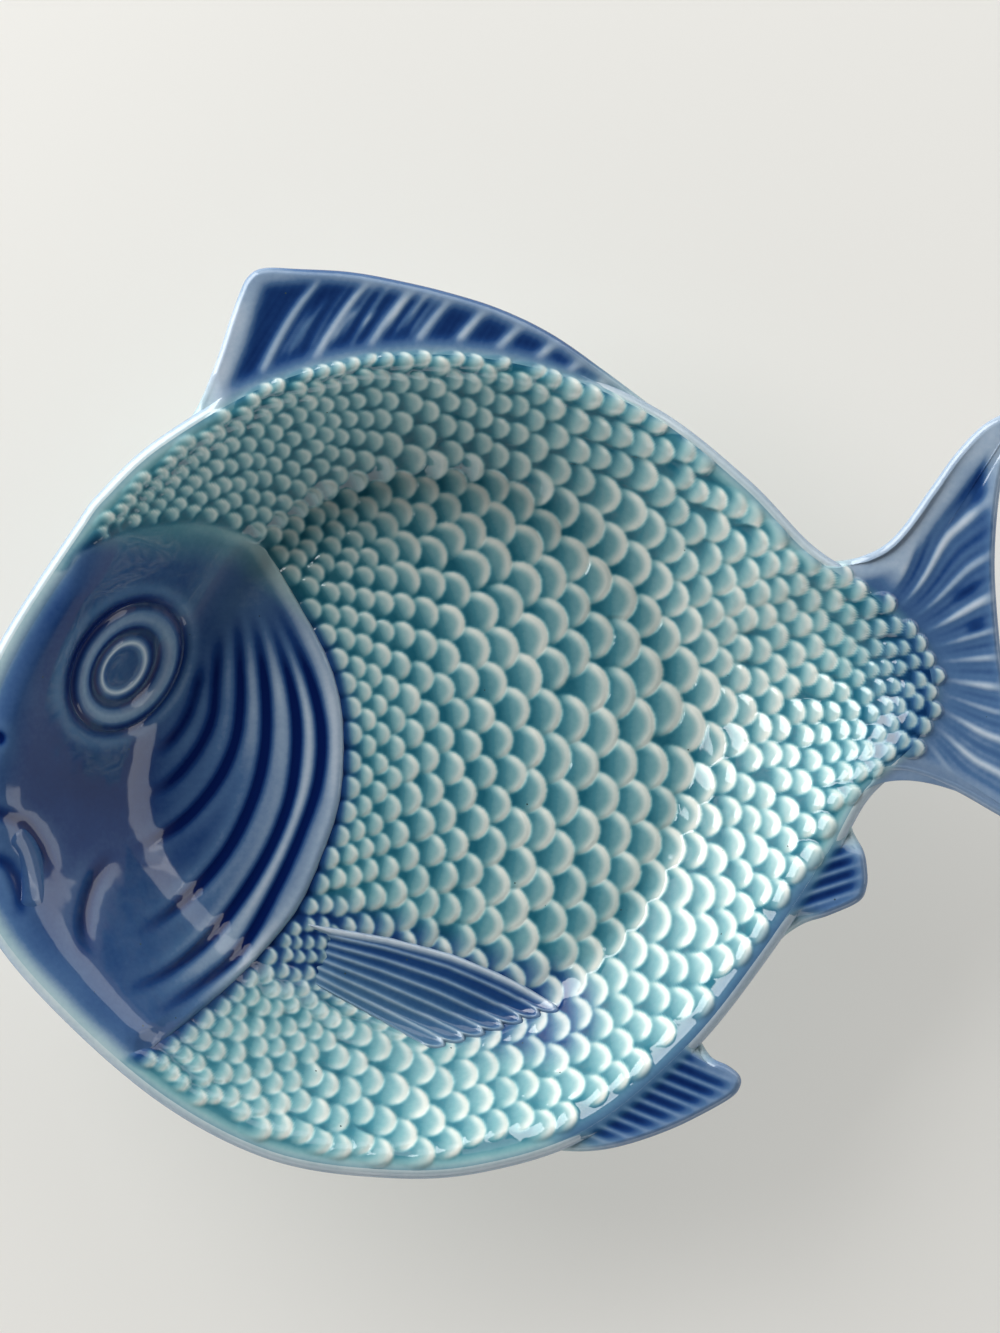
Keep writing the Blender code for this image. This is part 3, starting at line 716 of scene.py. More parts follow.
def tail_rays(window, inset, share):
    """Rays of the tail and how thin the glaze is between them.

    Pale crests that grow outwards, finer ridges between, a dark wedge under the upper border and
    two dark spots.
    """
    across, up = BOARD_X[window] - TAIL_POINT[0], TAIL_POINT[1] - BOARD_Y[window]
    turn = np.degrees(np.arctan2(up, across))
    spread = 1 + 0.35 * smooth(np.hypot(across, up), *TAIL_CLOSE)
    phase = np.interp(turn * spread, TAIL_RAYS, np.arange(len(TAIL_RAYS)))
    strong = 0.72 + 0.22 * np.cos(2.4 * np.round(phase))
    rays = smooth(BEYOND[window], 0, 18) * (strong * comb(phase, 7) + 0.3 * comb(3 * phase, 2))
    cell = lookup(turn, TAIL_CELLS) + 0.1 * smooth(BEYOND[window], 14, 3)
    wedge = bell(inset - 9, 10) * smooth(share, 0.12, 0.2) * smooth(share, 0.42, 0.34)
    spots = np.zeros(BOARD_X.shape)
    for spot in TAIL_SPOTS:
        stroke(spots, spot, 1, 5, fade=0.4)
    dark = soften(np.maximum(wedge, 0.9 * spots[window]), 2)
    return rays * (1 - 0.8 * dark), cell * (1 - dark)


def draw_fins():
    """Boards of the fins' carving in mm and of how thin their glaze is: border, sunk cells and rays; the
    back fin's border also holds a painted highlight and painted shade.
    """
    height = np.zeros(BOARD_X.shape)
    thin = np.full(BOARD_X.shape, 0.7)
    dorsal_rays = np.zeros(BOARD_X.shape)
    draw_dorsal(dorsal_rays)
    for name, outline in FINS.items():
        window, away, share = measured(spline(outline, steps=6), 110)
        x, y, beyond = BOARD_X[window], BOARD_Y[window], BEYOND[window]
        wide = lookup(share, BORDERS[name])
        cell, haze = 0.03, 0.42
        if name == "dorsal_fin":
            rays = dorsal_rays[window]
            low = smooth(x, *DORSAL_SOFTER)
            root = smooth(beyond, 0.5 + 1.5 * low, 3 + 4 * low)
            haze = 0.55
            # Border paler along the leading edge: thinner glaze on its round, partly a painted highlight.
            # Along the top a dark line at the very edge is painted shade.
            border = 0.68 + 0.14 * smooth(share, 0.3, 0.22)
            border = border - 0.4 * smooth(away, 5, 1) * smooth(share, 0.3, 0.4)
            streak = turned((x, y), 58)[1]
            cell = 0.02 + 0.07 * comb(streak / 4.3, 1) + 0.07 * comb(streak / 7.1, 2)
        elif name == "tail_fin":
            rays, cell = tail_rays(window, away - wide, share)
            root = smooth(beyond, -3, 1)
            border = 0.62 + 0.16 * smooth(share, 0.42, 0.3)
        else:
            way, pitch = STRIPES[name]
            rays = 0.72 * comb(turned((x, y), way)[1] / pitch, 4)
            border = 0.58
            root = smooth(beyond, 0, 3.5)
        inside = soften(smooth(away, wide - 5, wide + 6), 4) * root
        rays = np.clip(rays, 0, 1)
        fall = soften(BORDER_FALL * np.minimum(wide / 20, 1) * np.clip(1 - away / wide, 0, 1) ** 2, 4)
        carving = (RAY_HEIGHT * inside * (rays - 1) - fall) * smooth(beyond, 0, 4)
        bare = haze + (border - haze) * smooth(away, wide + 10, wide - 4)
        glaze_thin = bare + inside * (cell - bare + (0.88 - cell) * rays)
        mine = away < nearest_outline(name, window)
        height[window] = np.where(mine, carving, height[window])
        thin[window] = np.where(mine, glaze_thin, thin[window])
    return soften(height, 2), soften(thin, 1)


FIN_HEIGHT, FIN_THIN_AND_PAINTED_LIGHT = draw_fins()


def draw_cobalt():
    """Board of where the cobalt glaze lies over the teal: head, fins, and their soft edges."""
    crown = smooth(BOARD_Y, *CROWN_UP) * smooth(BOARD_X, *CROWN_ACROSS)
    inside = GILL_AWAY * np.where(HEAD_SHARE < 1, -1, 1)
    head = smooth(inside, 26 - 16 * crown, -3 - 50 * crown)
    head *= 0.3 + 0.7 * smooth(ROOM, -0.5, 5)
    fins = 0.97 * smooth(BEYOND, -3, 4)
    belly = smooth(np.abs(np.degrees(BOARD_ANGLE) - BELLY_BEARING), *BELLY_SPREAD)
    rim = smooth(ROOM, 7, 0) * belly * 0.8
    _, fan, _ = measured(even_steps(spline(FAN_LINE), 30), WHOLE_BOARD)
    halo = 0.95 * smooth(fan, 66, 26)
    tail = 0.85 * smooth(BOARD_X, *ROOT_ACROSS) * smooth(np.abs(BOARD_Y - ROOT_ROW), *ROOT_SPREAD)
    return np.clip(np.maximum.reduce([head, fins, rim, halo, tail]), 0, 1)


COBALT = draw_cobalt()


def quads(rows, columns, closed_rows=False):
    """Corners of the quads on a grid of points whose columns run round a loop."""
    first = np.arange(rows * columns).reshape(rows, columns)
    second = np.roll(first, -1, axis=0)
    if not closed_rows:
        first, second = first[:-1], second[:-1]
    loops = [first, np.roll(first, -1, axis=1), np.roll(second, -1, axis=1), second]
    return np.stack(loops, axis=-1).reshape(-1, 4)


def closed_sleeve(grid, poles=False):
    """Points and faces of a grid whose columns run round a loop, with both end loops shut.

    An end loop is one flat face; a pole is a fan about the loop's middle.
    """
    rows, columns = grid.shape[:2]
    points = grid.reshape(-1, 3)
    ring = np.arange(columns)
    last = (rows - 1) * columns + ring
    faces = quads(rows, columns).tolist()
    if not poles:
        return points, faces + [ring[::-1].tolist(), last.tolist()]
    points = np.vstack([points, grid[0].mean(0), grid[-1].mean(0)])
    start = np.stack([np.roll(ring, -1), ring, np.full(columns, rows * columns)], axis=-1)
    end = np.stack([last, np.roll(last, -1), np.full(columns, rows * columns + 1)], axis=-1)
    return points, faces + start.tolist() + end.tolist()


def facing_out(points, faces):
    """The faces turned, if need be, so that the closed surface holds a positive volume."""
    corners = [face[:3] for face in faces] + [face[:1] + face[2:] for face in faces if len(face) == 4]
    first, second, third = points[np.array(corners)].transpose(1, 0, 2)
    volume = np.einsum("ij,ij->i", first, np.cross(second, third)).sum()
    return faces if volume > 0 else [face[::-1] for face in faces]


def add_piece(name, points, faces, material, nodes, thin, cobalt, normals=None):
    """Mesh object of one piece, with the glaze's thinness and the cobalt's share on its points."""
    mesh = bpy.data.meshes.new(name)
    mesh.from_pydata(((points + SHIFT) * MM).tolist(), [], facing_out(points, faces))
    mesh.shade_smooth()
    for key, values in (("thin", thin), ("cobalt", cobalt)):
        spread = np.broadcast_to(values, len(points)).astype(np.float32)
        mesh.attributes.new(key, "FLOAT", "POINT").data.foreach_set("value", spread)
    if normals is not None:
        mesh.normals_split_custom_set_from_vertices(normals.tolist())
    mesh.materials.append(material)
    piece = bpy.data.objects.new(name, mesh)
    bpy.context.collection.objects.link(piece)
    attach(piece, "root")
    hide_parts(*nodes)
    return piece


def grid_normals(grid):
    """Unit vectors square to a grid of rows of points that run round, pointing up where it starts."""
    looped = np.concatenate([grid[:, -1:], grid, grid[:, :1]], axis=1)
    normals = unit(np.cross(np.gradient(looped, axis=1)[:, 1:-1], np.gradient(grid, axis=0)))
    return (normals * np.sign(normals[0, :, 2].sum())).reshape(-1, 3)


def carved(plan):
    """Points of the inner face with the scales standing on it, bare under the head."""
    pixels = to_photo(lay(plan, 0))
    off_head = 1 - smooth(read(HEAD_SHARE, pixels), 1, 0.97)
    return lay(plan, read(SCALE_HEIGHT, pixels) * off_head)


def carved_normals(plan):
    """Unit vectors square to the carved face, from points a little to each side."""
    return unit(np.cross(*changes(carved, plan, 0.35)))


def head_thin(pixels):
    """How thin the glaze is on the head and on the wall beside it: paler towards the rim."""
    room = read(ROOM, pixels)
    thin = read(HEAD_THIN, pixels) + 0.16 * smooth(room, 20, 3)
    return thin + (0.7 - thin) * smooth(room, 6.5, 0.5)


def face_paint(points):
    """Thinness of the glaze, with the scales' painted shading and highlight, and share of cobalt on the
    inner face.

    The scales' paint turns pale along the bare rim, hazy in the gaps by the crest and into the
    head's own paint on the head. Thin glaze on a scale shows less of the cobalt.
    """
    pixels = to_photo(points)
    room = read(ROOM, pixels)
    bare = lookup(np.degrees(bearing(points[..., :2])[0]), SCALE_MARGIN, period=360)
    rim = smooth(room, 5, 0.5) * smooth(bare, 0.5, 2.5)
    thin = read(SCALE_THIN_AND_PAINTED_LIGHT, pixels)
    on_head = smooth(read(HEAD_SHARE, pixels), 1.01, 0.98)
    pooled = 1 - 0.6 * smooth(thin, 0.25, 0.8) * (1 - np.maximum(rim, on_head))
    cobalt = read(COBALT, pixels)
    thin += (0.66 - 0.3 * cobalt - thin) * rim
    gap = smooth(room, 4, 0.5) * smooth(read(SCALE_HEIGHT, pixels), 0.2, 0.02)
    thin += np.maximum(0.42 - thin, 0) * gap
    return thin + (head_thin(pixels) - thin) * on_head, cobalt * pooled


def basin_floor(material):
    """Flat oval floor with its scales: a square grid drawn into the oval, on a flat back.

    x = u * sqrt(1 - v*v/2) and y = v * sqrt(1 - u*u/2), for u and v from -1 to 1.
    """
    line = np.linspace(-1, 1, FLOOR_SQUARES + 1)
    u, v = np.meshgrid(line, line)
    oval = np.stack([u * np.sqrt(1 - v * v / 2), v * np.sqrt(1 - u * u / 2)], axis=-1)
    plan = (FLOOR_MIDDLE + oval * FLOOR_HALF).reshape(-1, 2)
    face = carved(plan)
    number = np.arange(len(plan)).reshape(u.shape)
    squares = np.stack([number[:-1, :-1], number[:-1, 1:], number[1:, 1:], number[1:, :-1]], axis=-1)
    border = np.concatenate([number[0, :-1], number[:-1, -1], number[-1, :0:-1], number[:0:-1, 0]])
    back = lay(plan[border], -SKIN)
    middle = np.append(FLOOR_MIDDLE, FLOOR_TOP - SKIN)
    under = len(face) + np.arange(len(border))
    side = np.stack([np.roll(border, -1), border, under, np.roll(under, -1)], axis=-1)
    fan = np.stack([np.roll(under, -1), under, np.full(len(border), len(face) + len(border))], axis=-1)
    points = np.vstack([face, back, middle])
    faces = squares.reshape(-1, 4).tolist() + side.tolist() + fan.tolist()
    normals = np.vstack([carved_normals(plan), np.tile([0, 0, -1.0], (len(border) + 1, 1))])
    thin, cobalt = face_paint(points)
    add_piece("basin_floor", points, faces, material, ["bowl_body"], thin, cobalt, normals)
    return bearing(plan[border])[0]


def basin_wall(name, start, end, angles, material):
    """Ring of the sloping wall with its scales, between two shares of the climb, on a smooth back."""
    floor, rim = floor_reach(angles), rim_reach(angles)

    def plan_rows(shares):
        """Plan points of rows at shares of the climb."""
        reach = floor + (rim - floor) * shares[:, None]
        return FLOOR_MIDDLE + direction(angles) * reach[..., None]

    plan = plan_rows(np.linspace(start, end, WALL_ROWS + 1))
    normals = carved_normals(plan)
    behind = plan_rows(np.linspace(0.985 * end, start, BACK_ROWS))
    back = lay(behind, -SKIN)
    points = np.concatenate([carved(plan), back]).reshape(-1, 3)
    normals = np.concatenate([normals, unit(lay(behind, -2 * SKIN) - back)]).reshape(-1, 3)
    faces = quads(WALL_ROWS + 1 + BACK_ROWS, len(angles), closed_rows=True).tolist()
    thin, cobalt = face_paint(points)
    add_piece(name, points, faces, material, ["bowl_body"], thin, cobalt, normals)


def outer_shell(angles, material):
    """Round rim, outside wall and underside: the inner face's section moved out by the wall."""
    floor, rim = floor_reach(angles), rim_reach(angles)
    spoke_ways, rim_ways = direction(angles), rim_outward(angles)

    def ring(share, out, height):
        """Points round the bowl at a share of the climb, moved out sideways, at a height."""
        reach = floor + (rim - floor) * share
        sideways = unit(spoke_ways + (rim_ways - spoke_ways) * np.clip(share, 0, 1))
        offset = np.broadcast_to(out, rim.shape)
        plan = FLOOR_MIDDLE + spoke_ways * reach[:, None] + sideways * offset[:, None]
        return raised(plan, height)

    def offset_ring(share, depth):
        """Points round the bowl at a share of the climb, at a depth behind the inner face."""
        height, slope = climb(share)
        tilt = np.arctan(DEPTH * slope / (rim - floor))
        return ring(share, depth * np.sin(tilt), FLOOR_TOP + DEPTH * height - depth * np.cos(tilt))

    def flat_ring(share, height):
        """Points round the floor at a share of its reach, at a height."""
        plan = FLOOR_MIDDLE + spoke_ways * (floor * share)[:, None]
        return raised(plan, height)

    inside = [flat_ring(share, FOOT_HEIGHT + SKIN) for share in (0.04, 0.4, 0.8)]
    inside += [offset_ring(share, WALL - SKIN) for share in np.linspace(0, 0.95, BACK_ROWS)]
    rolled = []
    for turn in np.radians(np.linspace(90, -58, RIM_ROWS)):
        height = RIM_HEIGHT - RIM_RADIUS + RIM_RADIUS * math.sin(turn)
        rolled.append(ring(1, RIM_RADIUS * math.cos(turn), height))
    outside = [offset_ring(share, WALL) for share in np.linspace(0.93, 0, OUTSIDE_ROWS)]
    under = [flat_ring(share, FOOT_HEIGHT) for share in (0.97, 0.8, 0.6, 0.4, 0.2, 0.04)]
    grid = np.stack(inside + rolled + outside + under)
    points, faces = closed_sleeve(grid, poles=True)
    normals = grid_normals(grid).reshape(grid.shape)
    normals[len(inside)] = (0, 0, 1)
    normals = np.vstack([normals.reshape(-1, 3), (0, 0, 1), (0, 0, -1)])
    low = (points[:, 2] - FOOT_HEIGHT) / DEPTH
    head = smooth(points[:, 0], *OUTSIDE_COBALT)
    thin = 0.52 + 0.3 * smooth(points[:, 2], RIM_HEIGHT - 5, RIM_HEIGHT)
    cobalt = np.maximum(0.2 * head, read(COBALT, to_photo(points)) * smooth(low, 0.6, 0.95))
    add_piece("outer_shell", points, faces, material, ["bowl_body"], thin, cobalt, normals)


def foot_ring(material):
    """Oval ring under the floor: a section with round corners carried round an oval path."""
    turns = direction(np.linspace(0, 2 * math.pi, FOOT_COLUMNS, endpoint=False))
    half = FLOOR_HALF - FOOT_INSET
    outward = unit(turns * half[::-1])
    corner = np.radians(np.linspace(0, 90, 7))
    wide = FOOT_WIDTH / 2
    right = FOOT_ROUND * np.column_stack([np.cos(corner) - 1, 1 - np.sin(corner)]) + (wide, 0)
    top = [(wide + 0.4, FOOT_HEIGHT + 0.2), (wide, FOOT_HEIGHT - 1), (wide, FOOT_HEIGHT / 2)]
    flat = [(0.5 * wide, 0), (0, 0)]
    section = np.vstack([top, right, flat])
    section = np.vstack([section, section[-2::-1] * (-1, 1)])
    plan = FLOOR_MIDDLE + turns * half
    points = raised(plan + outward * section[:, None, :1], section[:, 1:]).reshape(-1, 3)
    faces = quads(len(section), len(turns), closed_rows=True).tolist()
    add_piece("foot", points, faces, material, ["foot_ring"], 0.5, 0)


def head_outline():
    """Plan outline of the head, and the part of it that runs along inside the rim's crest."""
    rear = onto_face(spline(GILL_EDGE))
    rear_angles, reach = bearing(rear)
    rear = rear[reach < rim_reach(rear_angles) - HEAD_BORDER]
    ends = bearing(rear[[-1, 0]])[0]
    angles = np.linspace(ends[0], ends[1] - 2 * math.pi, 60)[1:-1]
    front = FLOOR_MIDDLE + direction(angles) * (rim_reach(angles) - HEAD_BORDER)[:, None]
    return even_steps(np.vstack([rear, front]), HEAD_COLUMNS, closed=True), front


def head_plate(material):
    """Head and gill cover: rays from the cheek to the outline, lifted off the wall.

    The plate rounds over at its rear edge and thins away to nothing along the rim.
    """
    outline, front = head_outline()
    cheek = onto_face(np.array(CHEEK, float))
    spokes = outline - cheek
    length = np.linalg.norm(spokes, axis=1)
    gap = np.linalg.norm(outline[:, None] - front[None], axis=-1).min(1)
    crown = smooth(to_photo(lay(outline, 0))[:, 1], *CROWN_THINS)
    rear_share = smooth(gap, 2, 22) * (1 - crown)
    shares = 1 - (1 - np.linspace(0.01, 1, HEAD_ROWS)) ** 1.25
    plan = cheek + spokes * shares[:, None, None]
    inset = (1 - shares)[:, None] * length
    rounded = quarter_round(inset / HEAD_ROUND)
    feather = smooth(inset, 0, 7 + 9 * crown)
    edge = rounded * rear_share + feather * (1 - rear_share)
    pixels = to_photo(lay(plan, 0))
    top = lay(plan, (HEAD_THICKNESS + read(HEAD_HEIGHT, pixels)) * edge - 0.06 * (1 - edge))
    skirt = np.stack([lay(outline, -HEAD_BED / 2), lay(outline, -HEAD_BED)])
    under = lay(cheek + spokes * np.linspace(0.97, 0.01, 14)[:, None, None], -HEAD_BED)
    points, faces = closed_sleeve(np.concatenate([top, skirt, under]), poles=True)
    columns = len(outline)
    below = grid_normals(np.concatenate([top[-1:], skirt, under]))[columns:]
    normals = np.vstack([grid_normals(top), below])
    normals = np.vstack([normals, normals[:columns].mean(0), normals[-columns:].mean(0)])
    pixels = to_photo(points)
    add_piece(
        "head", points, faces, material, ["head_plate"],
        head_thin(pixels), read(COBALT, pixels), normals,
    )


def eye(material):
    """Ringed eye on the head: circles drawn on the slope, raised and sunk by the rings' profile."""
    turns = np.linspace(0, 2 * math.pi, EYE_COLUMNS, endpoint=False)
    outs = np.linspace(0.5, EYE_REACH, EYE_ROWS)
    tilt = math.radians(EYE_AXIS)
    long_part = np.cos(turns)[:, None] * (math.cos(tilt), -math.sin(tilt))
    short_part = np.sin(turns)[:, None] * (np.array([math.sin(tilt), math.cos(tilt)]) * EYE_SQUEEZE)
    inner = (1 - outs / EYE_REACH)[:, None, None]
    ovals = long_part + short_part * (1 - 0.12 * inner)
    plan = onto_face(EYE + np.array(EYE_LEAN) * inner + ovals * outs[:, None, None])
    rings = np.broadcast_to(eye_rings(outs)[:, None], plan.shape[:2])
    top = lay(plan, HEAD_THICKNESS + rings)
    rounds = (long_part + short_part) * np.linspace(EYE_REACH, 1, 8)[:, None, None]
    under = lay(onto_face(EYE + rounds), 0.2)
    points, faces = closed_sleeve(np.concatenate([top, under]), poles=True)
    paint = np.broadcast_to(lookup(outs, EYE_PAINT)[:, None], plan.shape[:2])
    thin = np.concatenate([paint.ravel(), np.full(len(points) - paint.size, 0.3)])
    cobalt = read(COBALT, to_photo(points))
    add_piece("eye_rings", points, faces, material, ["eye"], thin, cobalt)


def lips(material):
    """Welt round the corner of the mouth: a round section along a curve, sunk at its ends."""
    line = even_steps(spline(LIP_PATH), WELT_ROWS)
    along = np.gradient(line, axis=0)
    side = unit(np.column_stack([-along[:, 1], along[:, 0]]))
    around_section = np.radians(np.linspace(0, 360, WELT_COLUMNS, endpoint=False))
    full = 0.15 + 0.85 * smooth(1 - np.abs(np.linspace(-1, 1, len(line))), 0, 0.5)[:, None]
    out = LIP_HALF * np.cos(around_section)[None, :, None] * full[..., None]
    sunk = 0.35 + 1.4 * (1 - full)
    height = HEAD_THICKNESS - sunk + (0.55 * np.sin(around_section)[None] - 0.3) * full + 0.3 * full**2
    points, faces = closed_sleeve(lay(onto_face(line[:, None] + side[:, None] * out), height))
    thin = (0.22 + 0.2 * np.sin(around_section)[None] * full).ravel()
    cobalt = read(COBALT, to_photo(points))
    add_piece("mouth_welt", points, faces, material, ["lips"], thin, cobalt)


def pectoral_fin(material):
    """Fan of finger-like rays: troughs between thin ridges, each ending in its own lobe.

    Across the fan the height is a ridge at each ray's border; out along it, the fan rises from
    its root and rounds down at the tips.
    """
    across = np.linspace(-0.02, 1.02, FAN_RAYS * 26 + 1)
    finger = np.clip(across, 0, 0.9999) * FAN_RAYS
    place = finger - np.floor(finger)
    lobe = FAN_LOBE * (2 * place - 1) ** 2
    end = FAN_TIPS[0] + (FAN_TIPS[1] - FAN_TIPS[0]) * across - lobe
    shares = np.concatenate([np.linspace(0, 0.9, 110), np.linspace(0.905, 1, 40)])
    out = FAN_ROOT + (end[:, None] - FAN_ROOT) * shares
    top = lookup(out, FAN_TOP)
    turn = np.radians(top + (FAN_LOW - top) * across[:, None])
    pixels = np.stack([FAN_POINT[0] + out * np.cos(turn), FAN_POINT[1] + out * np.sin(turn)], axis=-1)
    width = np.radians(FAN_LOW - top) / FAN_RAYS * out
    from_edge = np.minimum(place, 1 - place)[:, None] * width
    tip = end[:, None] - out
    top_ray = bell(across[:, None] * width * FAN_RAYS - 3, 5.5) * smooth(tip, 0, 8)
    ridge = bell(from_edge, 2.5) * smooth(tip, 0, 6) + bell(tip - 3, 4) * 0.8
    ridge = np.minimum(np.maximum(0.75 * ridge, top_ray), 1)
    sides = smooth(np.minimum(across + 0.02, 1.02 - across), 0, 0.05)[:, None]
    rounding = quarter_round(tip / 6)
    first = bell(across, 0.12)[:, None]
    begun = smooth(out, FAN_RISE[0] - 20 * first, FAN_RISE[1] - 40 * first)
    body = begun * (0.7 + 0.6 * ridge) * rounding * sides
    height = body - 0.5 * (1 - rounding * sides) - 0.7 * (1 - begun)
    face = lay(onto_face(pixels), height)
    below = lay(onto_face(pixels[:, ::-12]), -1.6)
    points, faces = closed_sleeve(np.concatenate([face, below], axis=1))
    trough = 0.16 + 0.22 * across[:, None]
    thin_face = trough + (0.8 - trough) * ridge + 0.14 * top_ray
    thin_face += (0.6 - thin_face) * 0.8 * (1 - rounding * sides)
    thin = np.concatenate([thin_face, np.full(below.shape[:2], 0.2)], axis=1).ravel()
    cobalt_face = np.broadcast_to(1 - 0.25 * across[:, None], face.shape[:2])
    cobalt = np.concatenate([cobalt_face, np.ones(below.shape[:2])], axis=1).ravel()
    add_piece("pectoral_fan", points, faces, material, ["pectoral_fin"], thin, cobalt)


def fin_edge(outline, columns):
    """Plan points of the crest under a fin and of its free edge, and its rise, evened along the outline."""
    pixels = even_steps(spline(outline), columns)
    rough = from_photo(pixels, RIM_HEIGHT)
    start, end = bearing(rough[[0, -1]])[0]
    crest = crest_point(start + (end - start) * np.linspace(0, 1, columns))
    span = np.linalg.norm(rough - crest, axis=1)
    reach = columns // 16
    even = np.convolve(np.pad(span, reach, mode="edge"), np.ones(2 * reach + 1) / (2 * reach + 1), "valid")
    rise = FIN_RISE * span**2 / even
    return crest, from_photo(pixels, RIM_HEIGHT + rise), rise


def fin_paint(points, end):
    """Thinness of the glaze, painted highlight and shade included, and share of cobalt on a fin, with the
    beads at its root and its pale ends.
    """
    pixels = to_photo(points)
    thin = read(FIN_THIN_AND_PAINTED_LIGHT, pixels)
    beads = smooth(read(SCALE_HEIGHT, pixels), 0.05, 0.3)
    thin += (np.maximum(read(SCALE_THIN_AND_PAINTED_LIGHT, pixels), 0.75 * thin) - thin) * beads
    cobalt = read(COBALT, pixels) * (1 - 0.6 * beads * smooth(thin, 0.25, 0.8))
    return thin + (0.72 - thin) * 0.8 * end, cobalt * (1 - 0.6 * end)


def rim_fin(name, solid, columns, rows, material):
    """Fin on the rim: straight lines from the crest to the free edge, with a round edge and an underside.

    The top leaves the crest level and curves up by the fin's rise; at both ends it sinks into the
    round rim.
    """
    crest, edge, rise = fin_edge(FINS[solid], columns)
    along = np.gradient(edge, axis=0)
    outward = unit(np.column_stack([along[:, 1], -along[:, 0]]))
    outward *= np.sign(((edge - crest) * outward).sum(1)[columns // 2])
    length = np.linalg.norm(edge - crest, axis=1)
    radius = np.minimum(FIN_ROUND, 0.42 * length)
    inset = edge - outward * radius[:, None]
    share = np.linspace(0, 1, rows)[:, None]
    plan = crest + (inset - crest) * share[..., None]
    offset = np.minimum(np.linalg.norm(plan - crest, axis=-1), RIM_RADIUS)
    roll = RIM_RADIUS - np.sqrt(RIM_RADIUS**2 - offset**2)
    free = smooth(length, 3.5, 12)
    surface = RIM_HEIGHT + rise * share**2 - (1 - free) * (roll + 0.4 * smooth(share, 0, 0.3))
    top = raised(plan, surface)
    pixels = to_photo(top)
    beads = read(SCALE_HEIGHT, pixels)
    bare = 1 - smooth(beads, 0, 0.2)
    top[..., 2] += read(FIN_HEIGHT, pixels) * bare * free + beads
    turns = np.radians(np.linspace(80, -90, 10))[:, None]
    bead = inset + outward * (radius * np.cos(turns))[..., None]
    bead_height = top[-1, :, 2] - radius + radius * np.sin(turns)
    bead = raised(bead, bead_height)
    back = np.linspace(1, 0, 12)[1:, None]
    under_plan = crest + (inset - crest) * back[..., None]
    thick = 2 * radius * back + (1 - back) * (WALL - 1.5)
    under_height = RIM_HEIGHT + rise * back**2 - (1 - free) * RIM_RADIUS * 0.3 - thick
    under = raised(under_plan, under_height)
    grid = np.concatenate([top, bead, under]).transpose(1, 0, 2)
    points, faces = closed_sleeve(grid)
    normals = unit(np.cross(np.gradient(grid, axis=0), np.gradient(grid, axis=1)))
    normals *= np.sign(normals[:, : rows // 2, 2].sum())
    thin, cobalt = fin_paint(points, np.repeat(1 - free, grid.shape[1]))
    add_piece(name, points, faces, material, [solid], thin, cobalt, normals.reshape(-1, 3))


def linear(code):
    """Linear colour of an sRGB hex code such as #80A0C0."""
    values = np.array([int(code[k : k + 2], 16) for k in (1, 3, 5)]) / 255
    return (*np.where(values <= 0.04045, values / 12.92, ((values + 0.055) / 1.055) ** 2.4), 1)


def node(tree, kind, links=(), values=(), stops=(), **settings):
    """Adds a shader node with its settings, its links, its sockets' own values and a ramp's stops.

    A link comes from a socket, or from a node's first output.
    """
    made = tree.nodes.new(kind)
    for key, value in settings.items():
        setattr(made, key, value)
    for socket, value in values:
        made.inputs[socket].default_value = value
    for socket, source in links:
        tree.links.new(getattr(source, "outputs", [source])[0], made.inputs[socket])
    if stops:
        elements = made.color_ramp.elements
        elements.remove(elements[0])
        elements[0].position = stops[0][0]
        for place, _ in stops[1:]:
            elements.new(place)
        for element, (_, code) in zip(elements, stops):
            element.color = linear(code)
    return made


def new_material(name):
    """Empty node material, its tree and its shader."""
    material = bpy.data.materials.new(name)
    material.use_nodes = True
    return material, material.node_tree, material.node_tree.nodes["Principled BSDF"]


# Glaze: colours from thick to thin; its clouds, its grain, drawn coarse enough to show, ripples and specks
TEAL_STOPS = [(0.0, "#1E5B6D"), (0.25, "#437C89"), (0.5, "#78A5AA"), (0.75, "#B0C8C6"), (1.0, "#E9ECE3")]
COBALT_STOPS = [(0.0, "#04184E"), (0.25, "#1B3B70"), (0.5, "#48678F"), (0.75, "#8CA0B6"), (1.0, "#C8D0D8")]
CLOUD_SIZE = 14 * MM
GRAIN_SIZE = 1.6 * MM
RIPPLE_SIZE = 9 * MM
SPECK_GAP = 10 * MM


